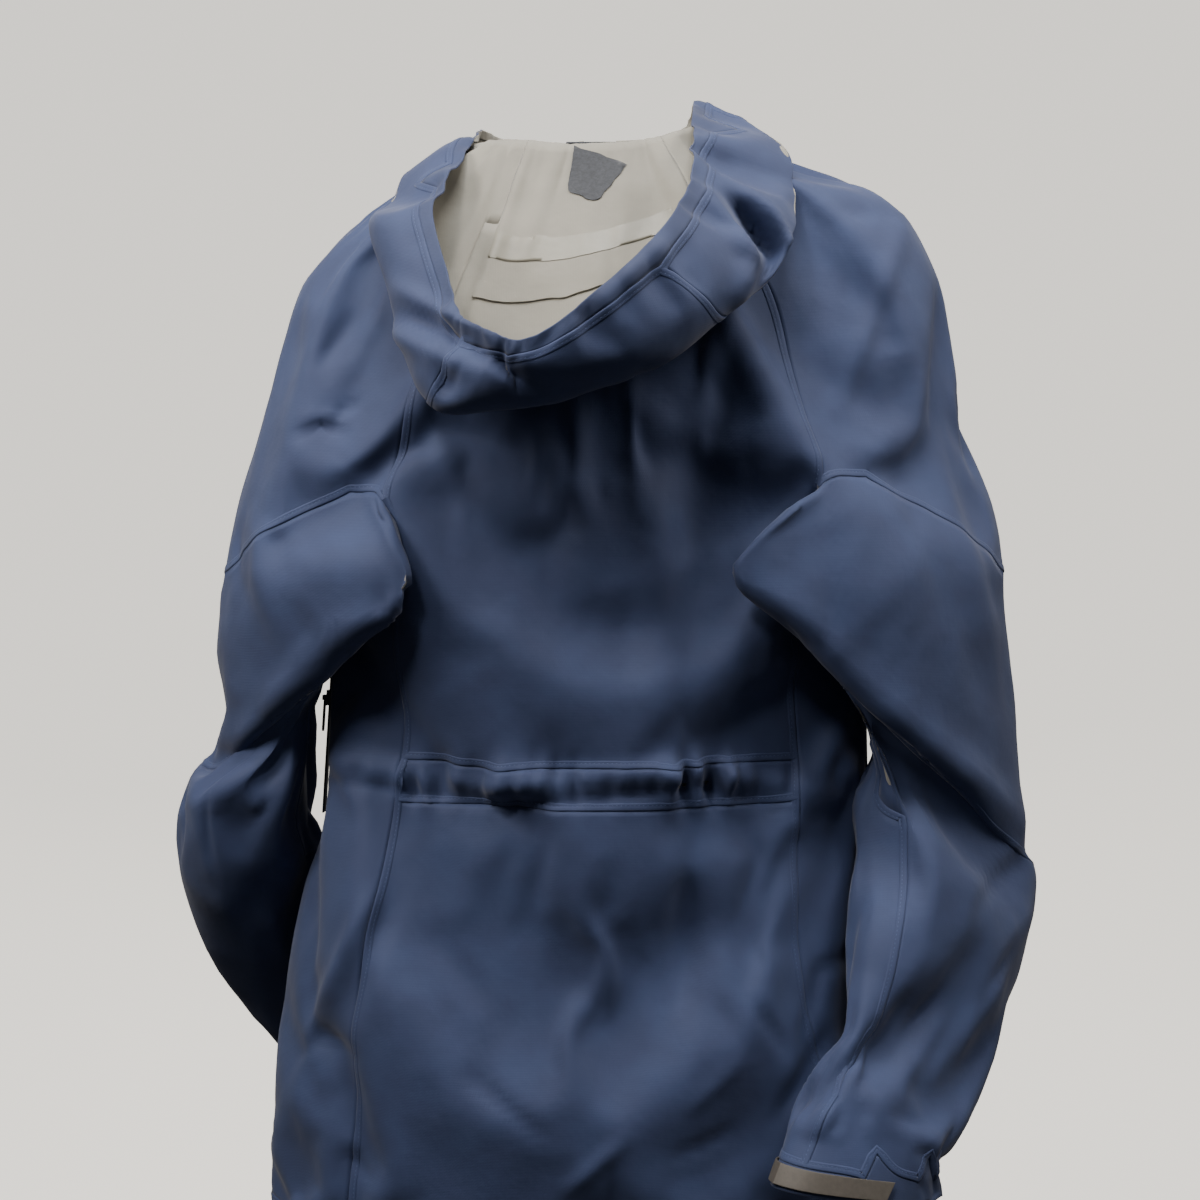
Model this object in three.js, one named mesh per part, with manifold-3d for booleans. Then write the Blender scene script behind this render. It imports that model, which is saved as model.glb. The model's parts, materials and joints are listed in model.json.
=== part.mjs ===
// Hardshell jacket, hanging by its shoulders as on a hanger.
// Millimetres, +Z up, the jacket's back towards +Y, the wearer's left towards +X.
// The origin is the highest point of the neck, on the line of the hanger.
//
// The cloth is one cage of four-sided cells: a dome over both shoulders, a torso tube, two sleeve
// tubes that branch off at the armpits, and the hood that rises from the neck ring. Every panel is
// a set of those cells given a thickness, so sewn neighbours share their seam line.
import * as THREE from 'three';
import { mergeVertices } from 'three/addons/utils/BufferGeometryUtils.js';
import Module from 'manifold-3d';

const wasm = await Module();
wasm.setup();

// ---- driving dimensions ----
const CLOTH = 1.4;            // three-layer laminate with its seam allowance
const SEAM_GAP = 0.44;        // between the cut edges of sewn neighbours
const HEM_Z = -850;
const ZIP_HALF = 13;          // half the width of the closed front zip, tape to tape
const ZIP_SLIT = 1.5;         // half the gap between the two zip tapes
const FRONT_Y = -88;          // front centre line at the neck ...
const FRONT_LEAN = 0.0282;    // ... and how far it comes forward for each millimetre down
const COLLAR_TOP_Z = -12;
const WAIST_TOP_Z = -503;     // drawcord channel across the back
const WAIST_BOTTOM_Z = -526;
const CORD_R = 1.4;           // drawcord radius
const ARMHOLE = 0.53;         // armhole seam, as a share of the half width across the shoulders
const TORSO_CORNER = 0.74;    // the same seam line lower down, as a share of the torso's half width

const frontY = (z) => FRONT_Y + FRONT_LEAN * z;

// ---- materials ----
function finish(color, roughness, metalness = 0) {
  return new THREE.MeshStandardMaterial({ color, roughness, metalness });
}
const FACE = finish('#3d4d74', 0.75);
const FACE_DARK = finish('#2f3c5c', 0.75);
const LINING = finish('#b2afa3', 0.85);
const TRIM = finish('#45474c', 0.8);
const TAB = finish('#5a554e', 0.8);
const ZIP = finish('#1f2840', 0.6);
const PLASTIC = finish('#22262e', 0.5);
const METAL = finish('#3a3d42', 0.35, 0.9);

const jacket = new THREE.Group();

function add(name, geometry, material, parent = jacket) {
  geometry.computeVertexNormals();
  const mesh = new THREE.Mesh(geometry, material);
  mesh.name = name;
  parent.add(mesh);
  return mesh;
}

// ---- the cage ----
const points = [];
const cells = [];

function vertex(x, y, z) {
  points.push(new THREE.Vector3(x, y, z));
  return points.length - 1;
}

// Rows run down the body, columns from the front zip round the right side, the back and the left.
// A cell keeps its tag, so that panels can be picked by part, row and column.
function addCells(part, rows, upward = false) {
  for (let i = 0; i + 1 < rows.length; i++) {
    for (let j = 0; j + 1 < rows[i].length; j++) {
      const corners = [rows[i][j], rows[i][j + 1], rows[i + 1][j + 1], rows[i + 1][j]];
      cells.push({ part, row: i, column: j, corners: upward ? corners.reverse() : corners });
    }
  }
}

// ---- columns round the shoulders ----
const PF_R = 6;
const RIDGE_R = 11;
const PB_R = 18;
const BACK = 24;
const PB_L = 30;
const RIDGE_L = 37;
const PF_L = 42;
const LAST = 48;

// where column j lies: its side, whether it is on the back, and its share of the half width
function across(j, halfWidth, power) {
  const left = j > BACK;
  const k = left ? LAST - j : j;                      // 0 at the zip, 24 at the back centre
  const corner = Math.acos(ARMHOLE ** (power / 2));   // angle of the armhole on the superellipse
  const onArc = (share) => Math.cos(corner * share) ** (2 / power);
  let u = 0;
  if (k <= PF_R) {
    const first = ZIP_HALF / halfWidth;
    u = first + (ARMHOLE - first) * (k / PF_R);
  } else if (k <= RIDGE_R) {
    u = onArc((RIDGE_R - k) / (RIDGE_R - PF_R));
  } else if (k <= PB_R) {
    u = onArc((k - RIDGE_R) / (PB_R - RIDGE_R));
  } else {
    u = ARMHOLE * (BACK - k) / (BACK - PB_R);
  }
  return { side: left ? 1 : -1, onBack: k > RIDGE_R, u };
}

// one level of the dome: the ridge ends at left and right, the back centre and the front height
const DOME = [
  { left: [98, -48], right: [84, -30], back: [60, -55], front: -92, lift: [0, 0] },
  { left: [148, -68], right: [135, -42], back: [82, -88], front: -120, lift: [0, 0] },
  { left: [196, -95], right: [190, -57], back: [95, -126], front: -152, lift: [0, 0] },
  { left: [226, -134], right: [242, -88], back: [102, -168], front: -190, lift: [0, 0] },
  { left: [241, -185], right: [262, -152], back: [106, -212], front: -230, lift: [4, 8] },
  { left: [256, -243], right: [273, -222], back: [109, -256], front: -268, lift: [14, 20] },
  { left: [270, -302], right: [287, -292], back: [111, -300], front: -305, lift: [30, 38] },
  { left: [284, -361], right: [306, -360], back: [112, -339], front: -339, lift: [50, 62] },
];
const DOME_POWER = 2.5;

function domePoint(level, j) {
  const side = j > BACK ? 'left' : 'right';
  const [halfWidth, ridgeZ] = level[side];
  const { side: sign, onBack, u } = across(j, halfWidth, DOME_POWER);
  const centreZ = onBack ? level.back[1] : level.front;
  const round = Math.max(0, 1 - u ** DOME_POWER) ** (1 / DOME_POWER);
  const lift = level.lift[side === 'left' ? 0 : 1];
  const arch = Math.sin(Math.PI * Math.max(0, (u - 0.2) / 0.8));
  const z = centreZ + (ridgeZ - centreZ) * u ** 2.2 + lift * arch;
  const y = onBack ? level.back[0] * round : frontY(z) * round;
  return [sign * u * halfWidth, y - 5 * u ** 4, z];
}

const dome = DOME.map((level) => {
  const row = [];
  for (let j = 0; j <= LAST; j++) row.push(vertex(...domePoint(level, j)));
  return row;
});
addCells('dome', dome);
const armpitRow = dome[dome.length - 1];

// ---- under each arm a sagging seam joins the back of the armhole to its front ----
const UNDERARM = 6;   // cells across the underarm

function underarmSeam(from, to, sign) {
  const seam = [from];
  for (let k = 1; k < UNDERARM; k++) {
    const s = k / UNDERARM;
    const p = points[from].clone().lerp(points[to], s);
    const sag = Math.sin(Math.PI * s);
    seam.push(vertex(p.x + sign * 44 * sag, p.y, p.z - 44 * sag));
  }
  seam.push(to);
  return seam;
}
const underarmRight = underarmSeam(armpitRow[PF_R], armpitRow[PB_R], -1);
const underarmLeft = underarmSeam(armpitRow[PB_L], armpitRow[PF_L], 1);

// ---- torso ----
// height, half widths to the left and right, and depth of the back
const TORSO = [
  [-375, 200, 200, 108],
  [-420, 202, 201, 106],
  [-463, 204, 202, 103],
  [WAIST_TOP_Z, 206, 203, 100],
  [WAIST_BOTTOM_Z, 207, 203, 101],
  [-572, 214, 200, 107],
  [-620, 227, 196, 112],
  [-670, 236, 200, 115],
  [-720, 242, 212, 117],
  [-768, 247, 228, 118],
  [-806, 248, 239, 118],
  [-836, 248, 244, 118],
  [HEM_Z, 248, 245, 118],
];
const TORSO_POWER_BACK = 2.8;
const TORSO_POWER_FRONT = 2.2;
const SIDE_FIRST = PF_R;                    // torso columns: front, side, back, side, front
const BACK_FIRST = SIDE_FIRST + UNDERARM;
const BACK_LAST = BACK_FIRST + 2 * (BACK - PB_R);
const SIDE_LAST = BACK_LAST + UNDERARM;
const TORSO_LAST = SIDE_LAST + PF_R;

function torsoPoint(level, j) {
  const [z, leftWidth, rightWidth, backDepth] = level;
  const middle = TORSO_LAST / 2;
  const left = j > middle;
  const k = left ? TORSO_LAST - j : j;
  const halfWidth = left ? leftWidth : rightWidth;
  const onBack = k > SIDE_FIRST + UNDERARM / 2;
  const power = onBack ? TORSO_POWER_BACK : TORSO_POWER_FRONT;
  const corner = Math.acos(TORSO_CORNER ** (power / 2));
  let u = 0;
  if (k <= SIDE_FIRST) {
    const first = ZIP_HALF / halfWidth;
    u = first + (TORSO_CORNER - first) * (k / SIDE_FIRST);
  } else if (k < BACK_FIRST) {
    const turn = Math.abs(k - SIDE_FIRST - UNDERARM / 2) / (UNDERARM / 2);
    u = Math.cos(corner * turn) ** (2 / power);
  } else {
    u = TORSO_CORNER * (middle - k) / (middle - BACK_FIRST);
  }
  const round = Math.max(0, 1 - u ** power) ** (1 / power);
  return [(left ? 1 : -1) * u * halfWidth, (onBack ? backDepth : frontY(z)) * round, z];
}

const torsoTop = [
  ...armpitRow.slice(0, PF_R),
  ...underarmRight,
  ...armpitRow.slice(PB_R + 1, PB_L),
  ...underarmLeft,
  ...armpitRow.slice(PF_L + 1),
];
const torso = [torsoTop];
for (const level of TORSO) {
  const row = [];
  for (let j = 0; j <= TORSO_LAST; j++) row.push(vertex(...torsoPoint(level, j)));
  torso.push(row);
}
addCells('torso', torso);

// ---- sleeves ----
// A station is a ring through six keys: the back corner next to the body, the middle of the back,
// the outer edge, the front corner, the wall that faces the body's side and the turn round the
// body's back corner. x counts outwards here.
const SLEEVE_COLUMNS = (PB_R - RIDGE_R) + (RIDGE_R - PF_R) + UNDERARM;
const KEY_COLUMNS = [0, 3.5, 7, 12, 14.5, 16.5, SLEEVE_COLUMNS];
const OVAL_ANGLES = [148, 72, 0, -85, -135, -175];

function oval(x, y, z, yaw, tilt, halfWidth, halfDepth) {
  const turn = THREE.MathUtils.degToRad(yaw);
  const lean = THREE.MathUtils.degToRad(tilt);
  const wide = new THREE.Vector3(Math.cos(turn), Math.sin(turn), Math.tan(lean)).normalize();
  const deep = new THREE.Vector3(-Math.sin(turn), Math.cos(turn), 0);
  return OVAL_ANGLES.map((degrees) => {
    const angle = THREE.MathUtils.degToRad(degrees);
    const p = new THREE.Vector3(x, y, z);
    p.addScaledVector(wide, Math.cos(angle) * halfWidth).addScaledVector(deep, Math.sin(angle) * halfDepth);
    return p.toArray();
  });
}

const SLEEVE_LEFT = [
  [[137, 113, -340], [208, 100, -345], [294, -8, -420], [218, -84, -365], [214, -10, -366], [206, 70, -352]],
  [[134, 118, -374], [206, 116, -430], [303, -10, -482], [232, -74, -415], [217, -8, -394], [210, 66, -384]],
  [[207, 80, -424], [236, 62, -462], [310, -10, -505], [244, -66, -455], [226, -8, -434], [216, 52, -424]],
  oval(276, -4, -535, -5, -12, 50, 54),
  oval(277, -24, -588, 5, -4, 50, 50),
  oval(268, -64, -642, 28, -6, 52, 44),
  oval(247, -105, -690, 38, -12, 52, 42),
  oval(214, -139, -738, 32, -20, 52, 40),
  oval(184, -165, -780, 18, -22, 54, 37),
  oval(172, -173, -796, 14, -22, 55, 36),
  oval(157, -181, -818, 10, -22, 57, 34),
];
const SLEEVE_RIGHT = [
  [[122, 119, -322], [226, 110, -352], [319, -5, -440], [232, -84, -362], [218, -10, -355], [211, 82, -338]],
  [[103, 127, -360], [218, 122, -462], [338, 2, -562], [258, -72, -455], [221, -6, -398], [212, 72, -384]],
  [[194, 98, -434], [252, 84, -494], [346, 0, -590], [266, -62, -500], [224, -2, -445], [214, 62, -434]],
  oval(272, 36, -578, -28, -26, 92, 42),
  oval(250, 64, -640, -34, -20, 84, 39),
  oval(231, 92, -694, -34, -15, 75, 36),
  oval(207, 122, -742, -28, -12, 68, 36),
  oval(191, 140, -768, -22, -10, 65, 35),
  oval(184, 148, -780, -20, -9, 64, 35),
  oval(176, 156, -796, -18, -8, 63, 34),
];

function stationRing(keys, sign) {
  const curve = new THREE.CatmullRomCurve3(keys.map((k) => new THREE.Vector3(...k)), true, 'centripetal');
  const ring = [];
  for (let c = 0; c < SLEEVE_COLUMNS; c++) {
    let segment = 0;
    while (KEY_COLUMNS[segment + 1] <= c) segment++;
    const along = (c - KEY_COLUMNS[segment]) / (KEY_COLUMNS[segment + 1] - KEY_COLUMNS[segment]);
    const p = curve.getPoint((segment + along) / keys.length);
    ring.push(vertex(sign * p.x, p.y, p.z));
  }
  return ring;
}

// the ring where a sleeve leaves the shoulder, from the back of the armhole round the outside
function armhole(backColumn, frontColumn, underarmToBack) {
  const ring = [];
  const step = frontColumn > backColumn ? 1 : -1;
  for (let j = backColumn; j !== frontColumn + step; j += step) ring.push(armpitRow[j]);
  return [...ring, ...underarmToBack.slice(1, -1)];
}

function sleeve(part, first, stations, sign) {
  const rings = [first, ...stations.map((keys) => stationRing(keys, sign))];
  const rows = rings.map((ring) => {
    const closed = [...ring, ring[0]];
    return sign > 0 ? closed : closed.reverse();
  });
  addCells(part, rows);
  return rows;
}
const sleeveLeft = sleeve('sleeveLeft', armhole(PB_L, PF_L, [...underarmLeft].reverse()), SLEEVE_LEFT, 1);
const sleeveRight = sleeve('sleeveRight', armhole(PB_R, PF_R, underarmRight), SLEEVE_RIGHT, -1);

// ---- hood and collar ----
// A meridian runs from the neck ring down over the back, round the bottom of the hood and up to its
// opening. The columns in front of the shoulders have none: there the collar stands straight up.
const HOOD = [
  [RIDGE_R, [[-98, -6, -24], [-110, -4, -18], [-113, 0, -13], [-95, 2, -6], [-70, 2, -2]]],
  [13, [[-114, 22, -30], [-144, 44, -44], [-154, 70, -74], [-114, 84, -62], [-67, 62, -34]]],
  [15, [[-108, 48, -46], [-142, 94, -98], [-134, 132, -150], [-102, 152, -120], [-64, 135, -82]]],
  [PB_R, [[-60, 92, -76], [-86, 119, -138], [-88, 160, -202], [-72, 205, -182], [-42, 203, -134]]],
  [21, [[-16, 100, -98], [-24, 124, -170], [-30, 165, -243], [-22, 222, -222], [2, 228, -180]]],
  [BACK, [[18, 102, -105], [30, 127, -186], [36, 168, -258], [46, 225, -240], [50, 230, -214]]],
  [27, [[50, 101, -106], [76, 123, -190], [78, 165, -265], [78, 218, -248], [74, 222, -206]]],
  [PB_L, [[82, 96, -96], [114, 117, -184], [118, 152, -262], [112, 195, -245], [96, 192, -188]]],
  [33, [[118, 58, -62], [152, 84, -110], [161, 118, -160], [142, 142, -142], [114, 126, -102]]],
  [35, [[117, 24, -49], [150, 42, -66], [163, 68, -92], [134, 76, -74], [99, 64, -60]]],
  [RIDGE_L, [[108, -5, -42], [116, -4, -40], [113, -4, -34], [102, -6, -28], [91, -8, -20]]],
];
// the collar's top edge, by column
const COLLAR_TOP = [
  [0, -ZIP_HALF, frontY(COLLAR_TOP_Z), COLLAR_TOP_Z], [PF_R, -54, -79, -11], [9, -70, -40, -7],
  [39, 84, -42, -18], [PF_L, 57, -80, -18], [LAST, ZIP_HALF, frontY(COLLAR_TOP_Z), COLLAR_TOP_Z],
];
const NECK_STEP = 2;  // the hood is sewn on this far above the shoulders' edge
const BINDING = 8;    // width of the bound edge round the opening

const neckRing = dome[0].map((k) => points[k].clone().add(new THREE.Vector3(0, 0, NECK_STEP)));

function collarMeridian([column, ...top]) {
  const rim = new THREE.Vector3(...top);
  const keys = [0.18, 0.36, 0.54, 0.7, 1].map((share) => neckRing[column].clone().lerp(rim, share).toArray());
  return [column, keys];
}

const meridians = [
  ...COLLAR_TOP.slice(0, 3).map(collarMeridian), ...HOOD, ...COLLAR_TOP.slice(3).map(collarMeridian),
];

function hoodRow(k) {
  const around = meridians.map(([, keys]) => new THREE.Vector3(...keys[k]));
  const curve = new THREE.CatmullRomCurve3(around, false, 'centripetal');
  const row = [];
  for (let j = 0; j <= LAST; j++) {
    let segment = 0;
    while (segment + 2 < meridians.length && meridians[segment + 1][0] <= j) segment++;
    const [from] = meridians[segment];
    const [to] = meridians[segment + 1];
    row.push(curve.getPoint((segment + (j - from) / (to - from)) / (meridians.length - 1)));
  }
  return row;
}
const hoodKeys = [0, 1, 2, 3, 4].map(hoodRow);
const aboveBinding = hoodKeys[4].map((rim, j) => {
  const back = hoodKeys[3][j].clone().sub(rim).setLength(BINDING);
  return rim.clone().add(back);
});
const hoodRows = [neckRing, ...hoodKeys.slice(0, 4), aboveBinding, hoodKeys[4]];
const hood = hoodRows.map((row) => row.map((p) => vertex(p.x, p.y, p.z)));
addCells('hood', hood, true);
const RIM_ROW = hood.length - 2;

// bands laid on the lining across the nape, between the hood's first two rows below the neck
function napeBand(part, from, to) {
  addCells(part, [from, to].map((share) => {
    const row = [];
    for (let j = PB_R + 1; j < PB_L; j++) {
      const p = points[hood[1][j]].clone().lerp(points[hood[2][j]], share);
      row.push(vertex(p.x, p.y, p.z));
    }
    return row;
  }), true);
}
napeBand('seamTape', 0.1, 0.34);
napeBand('adjuster', 0.56, 0.72);

// ---- normals of the whole cage, so that neighbours thicken along the same lines ----
const normals = points.map(() => new THREE.Vector3());
for (const { corners } of cells) {
  const [a, b, c, d] = corners.map((k) => points[k]);
  const area = new THREE.Vector3().subVectors(c, a).cross(new THREE.Vector3().subVectors(d, b));
  for (const k of corners) normals[k].add(area);
}
for (const n of normals) n.normalize();
hood[RIM_ROW + 1].forEach((k, j) => normals[k].copy(normals[hood[RIM_ROW][j]]));   // the binding lies flat

// a cell folds along the diagonal that stands further out, which is then from its first corner to its third
function fold(corners) {
  const [a, b, c, d] = corners.map((k) => points[k]);
  const out = corners.reduce((sum, k) => sum.add(normals[k]), new THREE.Vector3());
  const first = new THREE.Vector3().addVectors(a, c).dot(out);
  const second = new THREE.Vector3().addVectors(b, d).dot(out);
  return first >= second ? corners : [corners[1], corners[2], corners[3], corners[0]];
}

// ---- a panel: some cells, closed with a thickness, its edges held back by half a seam gap ----
function panel(name, material, picked, { lift = 0, thickness = CLOTH, inset = SEAM_GAP / 2 } = {}) {
  const edges = new Set();
  for (const { corners } of picked) {
    corners.forEach((a, k) => edges.add(`${a},${corners[(k + 1) % 4]}`));
  }
  const rim = [];
  const inward = new Map();
  for (const edge of edges) {
    const [a, b] = edge.split(',').map(Number);
    if (edges.has(`${b},${a}`)) continue;
    rim.push([a, b]);
    const along = new THREE.Vector3().subVectors(points[b], points[a]).normalize();
    for (const k of [a, b]) {
      const pull = new THREE.Vector3().crossVectors(normals[k], along).normalize();
      inward.set(k, (inward.get(k) ?? new THREE.Vector3()).add(pull));
    }
  }
  const index = new Map();
  const positions = [];
  for (const { corners } of picked) {
    for (const k of corners) {
      if (index.has(k)) continue;
      index.set(k, index.size);
      const p = points[k].clone();
      const pull = inward.get(k);
      if (pull) p.addScaledVector(pull, 2 * inset / Math.max(1, pull.lengthSq()));
      positions.push(p.clone().addScaledVector(normals[k], lift));
      positions.push(p.clone().addScaledVector(normals[k], lift - thickness));
    }
  }
  const outer = (k) => 2 * index.get(k);
  const inner = (k) => 2 * index.get(k) + 1;
  const faces = [];
  for (const { corners } of picked) {
    const [a, b, c, d] = fold(corners);
    faces.push(outer(a), outer(b), outer(c), outer(a), outer(c), outer(d));
    faces.push(inner(c), inner(b), inner(a), inner(d), inner(c), inner(a));
  }
  for (const [a, b] of rim) {
    faces.push(outer(b), outer(a), inner(a), outer(b), inner(a), inner(b));
  }
  const geometry = new THREE.BufferGeometry();
  const numbers = positions.flatMap((p) => p.toArray());
  geometry.setAttribute('position', new THREE.Float32BufferAttribute(numbers, 3));
  geometry.setIndex(faces);
  return add(name, geometry.toNonIndexed(), material);
}

function pick(part, rows, columns) {
  return cells.filter((c) => c.part === part
    && c.row >= rows[0] && c.row < rows[1] && c.column >= columns[0] && c.column < columns[1]);
}

// ---- body panels ----
const DOME_ROWS = DOME.length - 1;
const YOKE_ROW = 3;
const WAIST_ROW = 4;      // torso row at the top of the drawcord channel
const HEM_ROW = TORSO.length - 1;

panel('back_yoke', FACE, pick('dome', [0, YOKE_ROW], [PB_R, PB_L]));
panel('back_panel', FACE, [
  ...pick('dome', [YOKE_ROW, DOME_ROWS], [PB_R, PB_L]),
  ...pick('torso', [0, WAIST_ROW], [BACK_FIRST, BACK_LAST]),
]);
panel('waist_channel', FACE, pick('torso', [WAIST_ROW, WAIST_ROW + 1], [BACK_FIRST, BACK_LAST]));
panel('back_skirt', FACE, pick('torso', [WAIST_ROW + 1, HEM_ROW], [BACK_FIRST, BACK_LAST]));
panel('hem_band', FACE_DARK, pick('torso', [HEM_ROW, HEM_ROW + 1], [0, TORSO_LAST]));
panel('side_panel_right', FACE, pick('torso', [0, HEM_ROW], [SIDE_FIRST, BACK_FIRST]));
panel('side_panel_left', FACE, pick('torso', [0, HEM_ROW], [BACK_LAST, SIDE_LAST]));
panel('front_panel_right', FACE, [
  ...pick('dome', [0, DOME_ROWS], [0, PF_R]), ...pick('torso', [0, HEM_ROW], [0, SIDE_FIRST]),
]);
panel('front_panel_left', FACE, [
  ...pick('dome', [0, DOME_ROWS], [PF_L, LAST]), ...pick('torso', [0, HEM_ROW], [SIDE_LAST, TORSO_LAST]),
]);
panel('shoulder_right', FACE, pick('dome', [0, DOME_ROWS], [PF_R, PB_R]));
panel('shoulder_left', FACE, pick('dome', [0, DOME_ROWS], [PB_L, PF_L]));

// ---- sleeve panels ----
const ELBOW_ROW = 3;

function sleevePanels(part, rows, suffix, under) {
  const cuffRow = rows.length - 2;
  panel(`upper_sleeve_${suffix}`, FACE, pick(part, [0, ELBOW_ROW], [0, SLEEVE_COLUMNS]));
  panel(`under_sleeve_${suffix}`, FACE, pick(part, [ELBOW_ROW, cuffRow], under));
  const outer = under[0] === 0 ? [under[1], SLEEVE_COLUMNS] : [0, under[0]];
  panel(`forearm_${suffix}`, FACE, pick(part, [ELBOW_ROW, cuffRow], outer));
  panel(`cuff_${suffix}`, FACE_DARK, pick(part, [cuffRow, cuffRow + 1], [0, SLEEVE_COLUMNS]));
}
sleevePanels('sleeveLeft', sleeveLeft, 'left', [SLEEVE_COLUMNS - UNDERARM, SLEEVE_COLUMNS]);
sleevePanels('sleeveRight', sleeveRight, 'right', [0, UNDERARM]);

// ---- hood panels ----
panel('hood_centre', FACE, pick('hood', [0, RIM_ROW], [PB_R, PB_L]));
panel('hood_side_right', FACE, pick('hood', [0, RIM_ROW], [RIDGE_R, PB_R]));
panel('hood_side_left', FACE, pick('hood', [0, RIM_ROW], [PB_L, RIDGE_L]));
panel('collar_right', FACE, pick('hood', [0, RIM_ROW], [0, RIDGE_R]));
panel('collar_left', FACE, pick('hood', [0, RIM_ROW], [RIDGE_L, LAST]));
panel('hood_binding', FACE_DARK, pick('hood', [RIM_ROW, RIM_ROW + 1], [0, LAST]));
panel('hood_seam_tape', LINING, cells.filter((c) => c.part === 'seamTape'),
  { lift: -CLOTH - 1, thickness: 0.6 });
panel('hood_adjuster_tunnel', LINING, cells.filter((c) => c.part === 'adjuster'),
  { lift: -CLOTH - 1, thickness: 1.2 });


// ---- drawcords, tunnels, flaps and pocket bags, all hung on the cage ----
panel('waist_tunnel', LINING, pick('torso', [WAIST_ROW, WAIST_ROW + 1], [BACK_FIRST, BACK_LAST]),
  { lift: -5.2, thickness: 0.8, inset: 1 });

// a cord along torso columns, between two rows, held this far inside the cloth's face
function torsoCord(name, rowAbove, columns, depth) {
  const path = [];
  for (let j = columns[0]; j <= columns[1]; j++) {
    const above = torso[rowAbove][j];
    const below = torso[rowAbove + 1][j];
    const p = points[above].clone().lerp(points[below], 0.5);
    path.push(p.addScaledVector(normals[above], -depth));
  }
  const circle = new THREE.Shape().absarc(0, 0, CORD_R, 0, 2 * Math.PI);
  const extrudePath = new THREE.CatmullRomCurve3(path, false, 'centripetal');
  const settings = { steps: 2 * (path.length - 1), curveSegments: 3, extrudePath };
  return add(name, new THREE.ExtrudeGeometry(circle, settings), PLASTIC);
}
torsoCord('waist_cord', WAIST_ROW, [BACK_FIRST + 1, BACK_LAST - 1], CLOTH + 0.4 + CORD_R);
torsoCord('hem_cord', HEM_ROW, [1, TORSO_LAST - 1], CLOTH + 3 + CORD_R);

const POCKET_ROWS = [6, 10];
const POCKET_COLUMNS = [2, 5];
const POCKET_DEPTH = 4;
const POCKET_COLUMNS_LEFT = POCKET_COLUMNS.map((j) => TORSO_LAST - j).reverse();
panel('pocket_bag_right', LINING, pick('torso', POCKET_ROWS, POCKET_COLUMNS),
  { lift: -CLOTH - POCKET_DEPTH, thickness: 1 });
panel('pocket_bag_left', LINING, pick('torso', POCKET_ROWS, POCKET_COLUMNS_LEFT),
  { lift: -CLOTH - POCKET_DEPTH, thickness: 1 });

// ---- small solids ----
const box = (x, y, z, cx = 0, cy = 0, cz = 0) => new THREE.BoxGeometry(x, y, z).translate(cx, cy, cz);

function solid(geometry) {
  const bare = geometry.index ? geometry.toNonIndexed() : geometry.clone();
  bare.deleteAttribute('normal');
  bare.deleteAttribute('uv');
  const merged = mergeVertices(bare, 1e-3);
  return new wasm.Manifold(new wasm.Mesh({
    numProp: 3,
    vertProperties: new Float32Array(merged.attributes.position.array),
    triVerts: new Uint32Array(merged.index.array),
  }));
}

function geometryOf(manifold) {
  const mesh = manifold.getMesh();
  const geometry = new THREE.BufferGeometry();
  geometry.setAttribute('position', new THREE.BufferAttribute(new Float32Array(mesh.vertProperties), 3));
  geometry.setIndex(new THREE.BufferAttribute(new Uint32Array(mesh.triVerts), 1));
  return geometry.toNonIndexed();
}

const join = (...parts) => geometryOf(parts.map(solid).reduce((sum, part) => sum.add(part)));
const take = (rest, tool) => rest.subtract(tool);
const cut = (body, ...tools) => geometryOf(tools.map(solid).reduce(take, solid(body)));

function outline(corners) {
  return new THREE.Shape(corners.map(([x, y]) => new THREE.Vector2(x, y)));
}

function extrude(shape, depth, curveSegments = 6) {
  return new THREE.ExtrudeGeometry(shape, { depth, bevelEnabled: false, curveSegments });
}

// a group whose z runs up from foot to head and whose y points out of the cloth
function frameAlong(foot, head, outward) {
  const up = new THREE.Vector3().subVectors(head, foot).normalize();
  const side = new THREE.Vector3().crossVectors(outward, up).normalize();
  const out = new THREE.Vector3().crossVectors(up, side);
  const group = new THREE.Group();
  group.quaternion.setFromRotationMatrix(new THREE.Matrix4().makeBasis(side, out, up));
  group.position.copy(foot);
  jacket.add(group);
  return group;
}

// ---- zips ----
const TAPE = 1.2;
const PULL_LENGTH = 26;
const PIN_OUT = 4.6;      // the pull's hinge line above the tape's middle plane

// top plate, post between the tapes and, on an open-backed zip, the bottom plate
function sliderGeometry(width, length, postDepth, backPlate) {
  const plate = 1.3;
  const above = 1.9;
  const parts = [
    box(width, plate, length, 0, above + plate / 2, 0),
    box(2, above + postDepth + 0.2, length, 0, (above + 0.2 - postDepth) / 2, 0),
    box(1.4, 3.4, 4, 3.5, above + plate + 1.4, 0),
    box(1.4, 3.4, 4, -3.5, above + plate + 1.4, 0),
  ];
  if (backPlate) parts.push(box(width, plate, length, 0, -above - plate / 2, 0));
  return join(...parts);
}

// a flat puller with a slot, hanging from a barrel between the slider's two ears
function pullGeometry(width) {
  const blade = new THREE.Shape();
  blade.moveTo(-2.2, 0);
  blade.lineTo(2.2, 0);
  blade.lineTo(width / 2, -8);
  blade.lineTo(width / 2, -PULL_LENGTH + 3);
  blade.quadraticCurveTo(width / 2, -PULL_LENGTH, 0, -PULL_LENGTH);
  blade.quadraticCurveTo(-width / 2, -PULL_LENGTH, -width / 2, -PULL_LENGTH + 3);
  blade.lineTo(-width / 2, -8);
  blade.holes.push(outline([[-1.3, -10], [-1.3, -PULL_LENGTH + 7], [1.3, -PULL_LENGTH + 7], [1.3, -10]]));
  const flat = extrude(blade, 1.4, 3).rotateX(Math.PI / 2).translate(0, PIN_OUT + 0.7, 0);
  const barrel = new THREE.CylinderGeometry(1.1, 1.1, 5, 10).rotateZ(Math.PI / 2).translate(0, PIN_OUT, 0);
  return join(flat, barrel);
}

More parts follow.
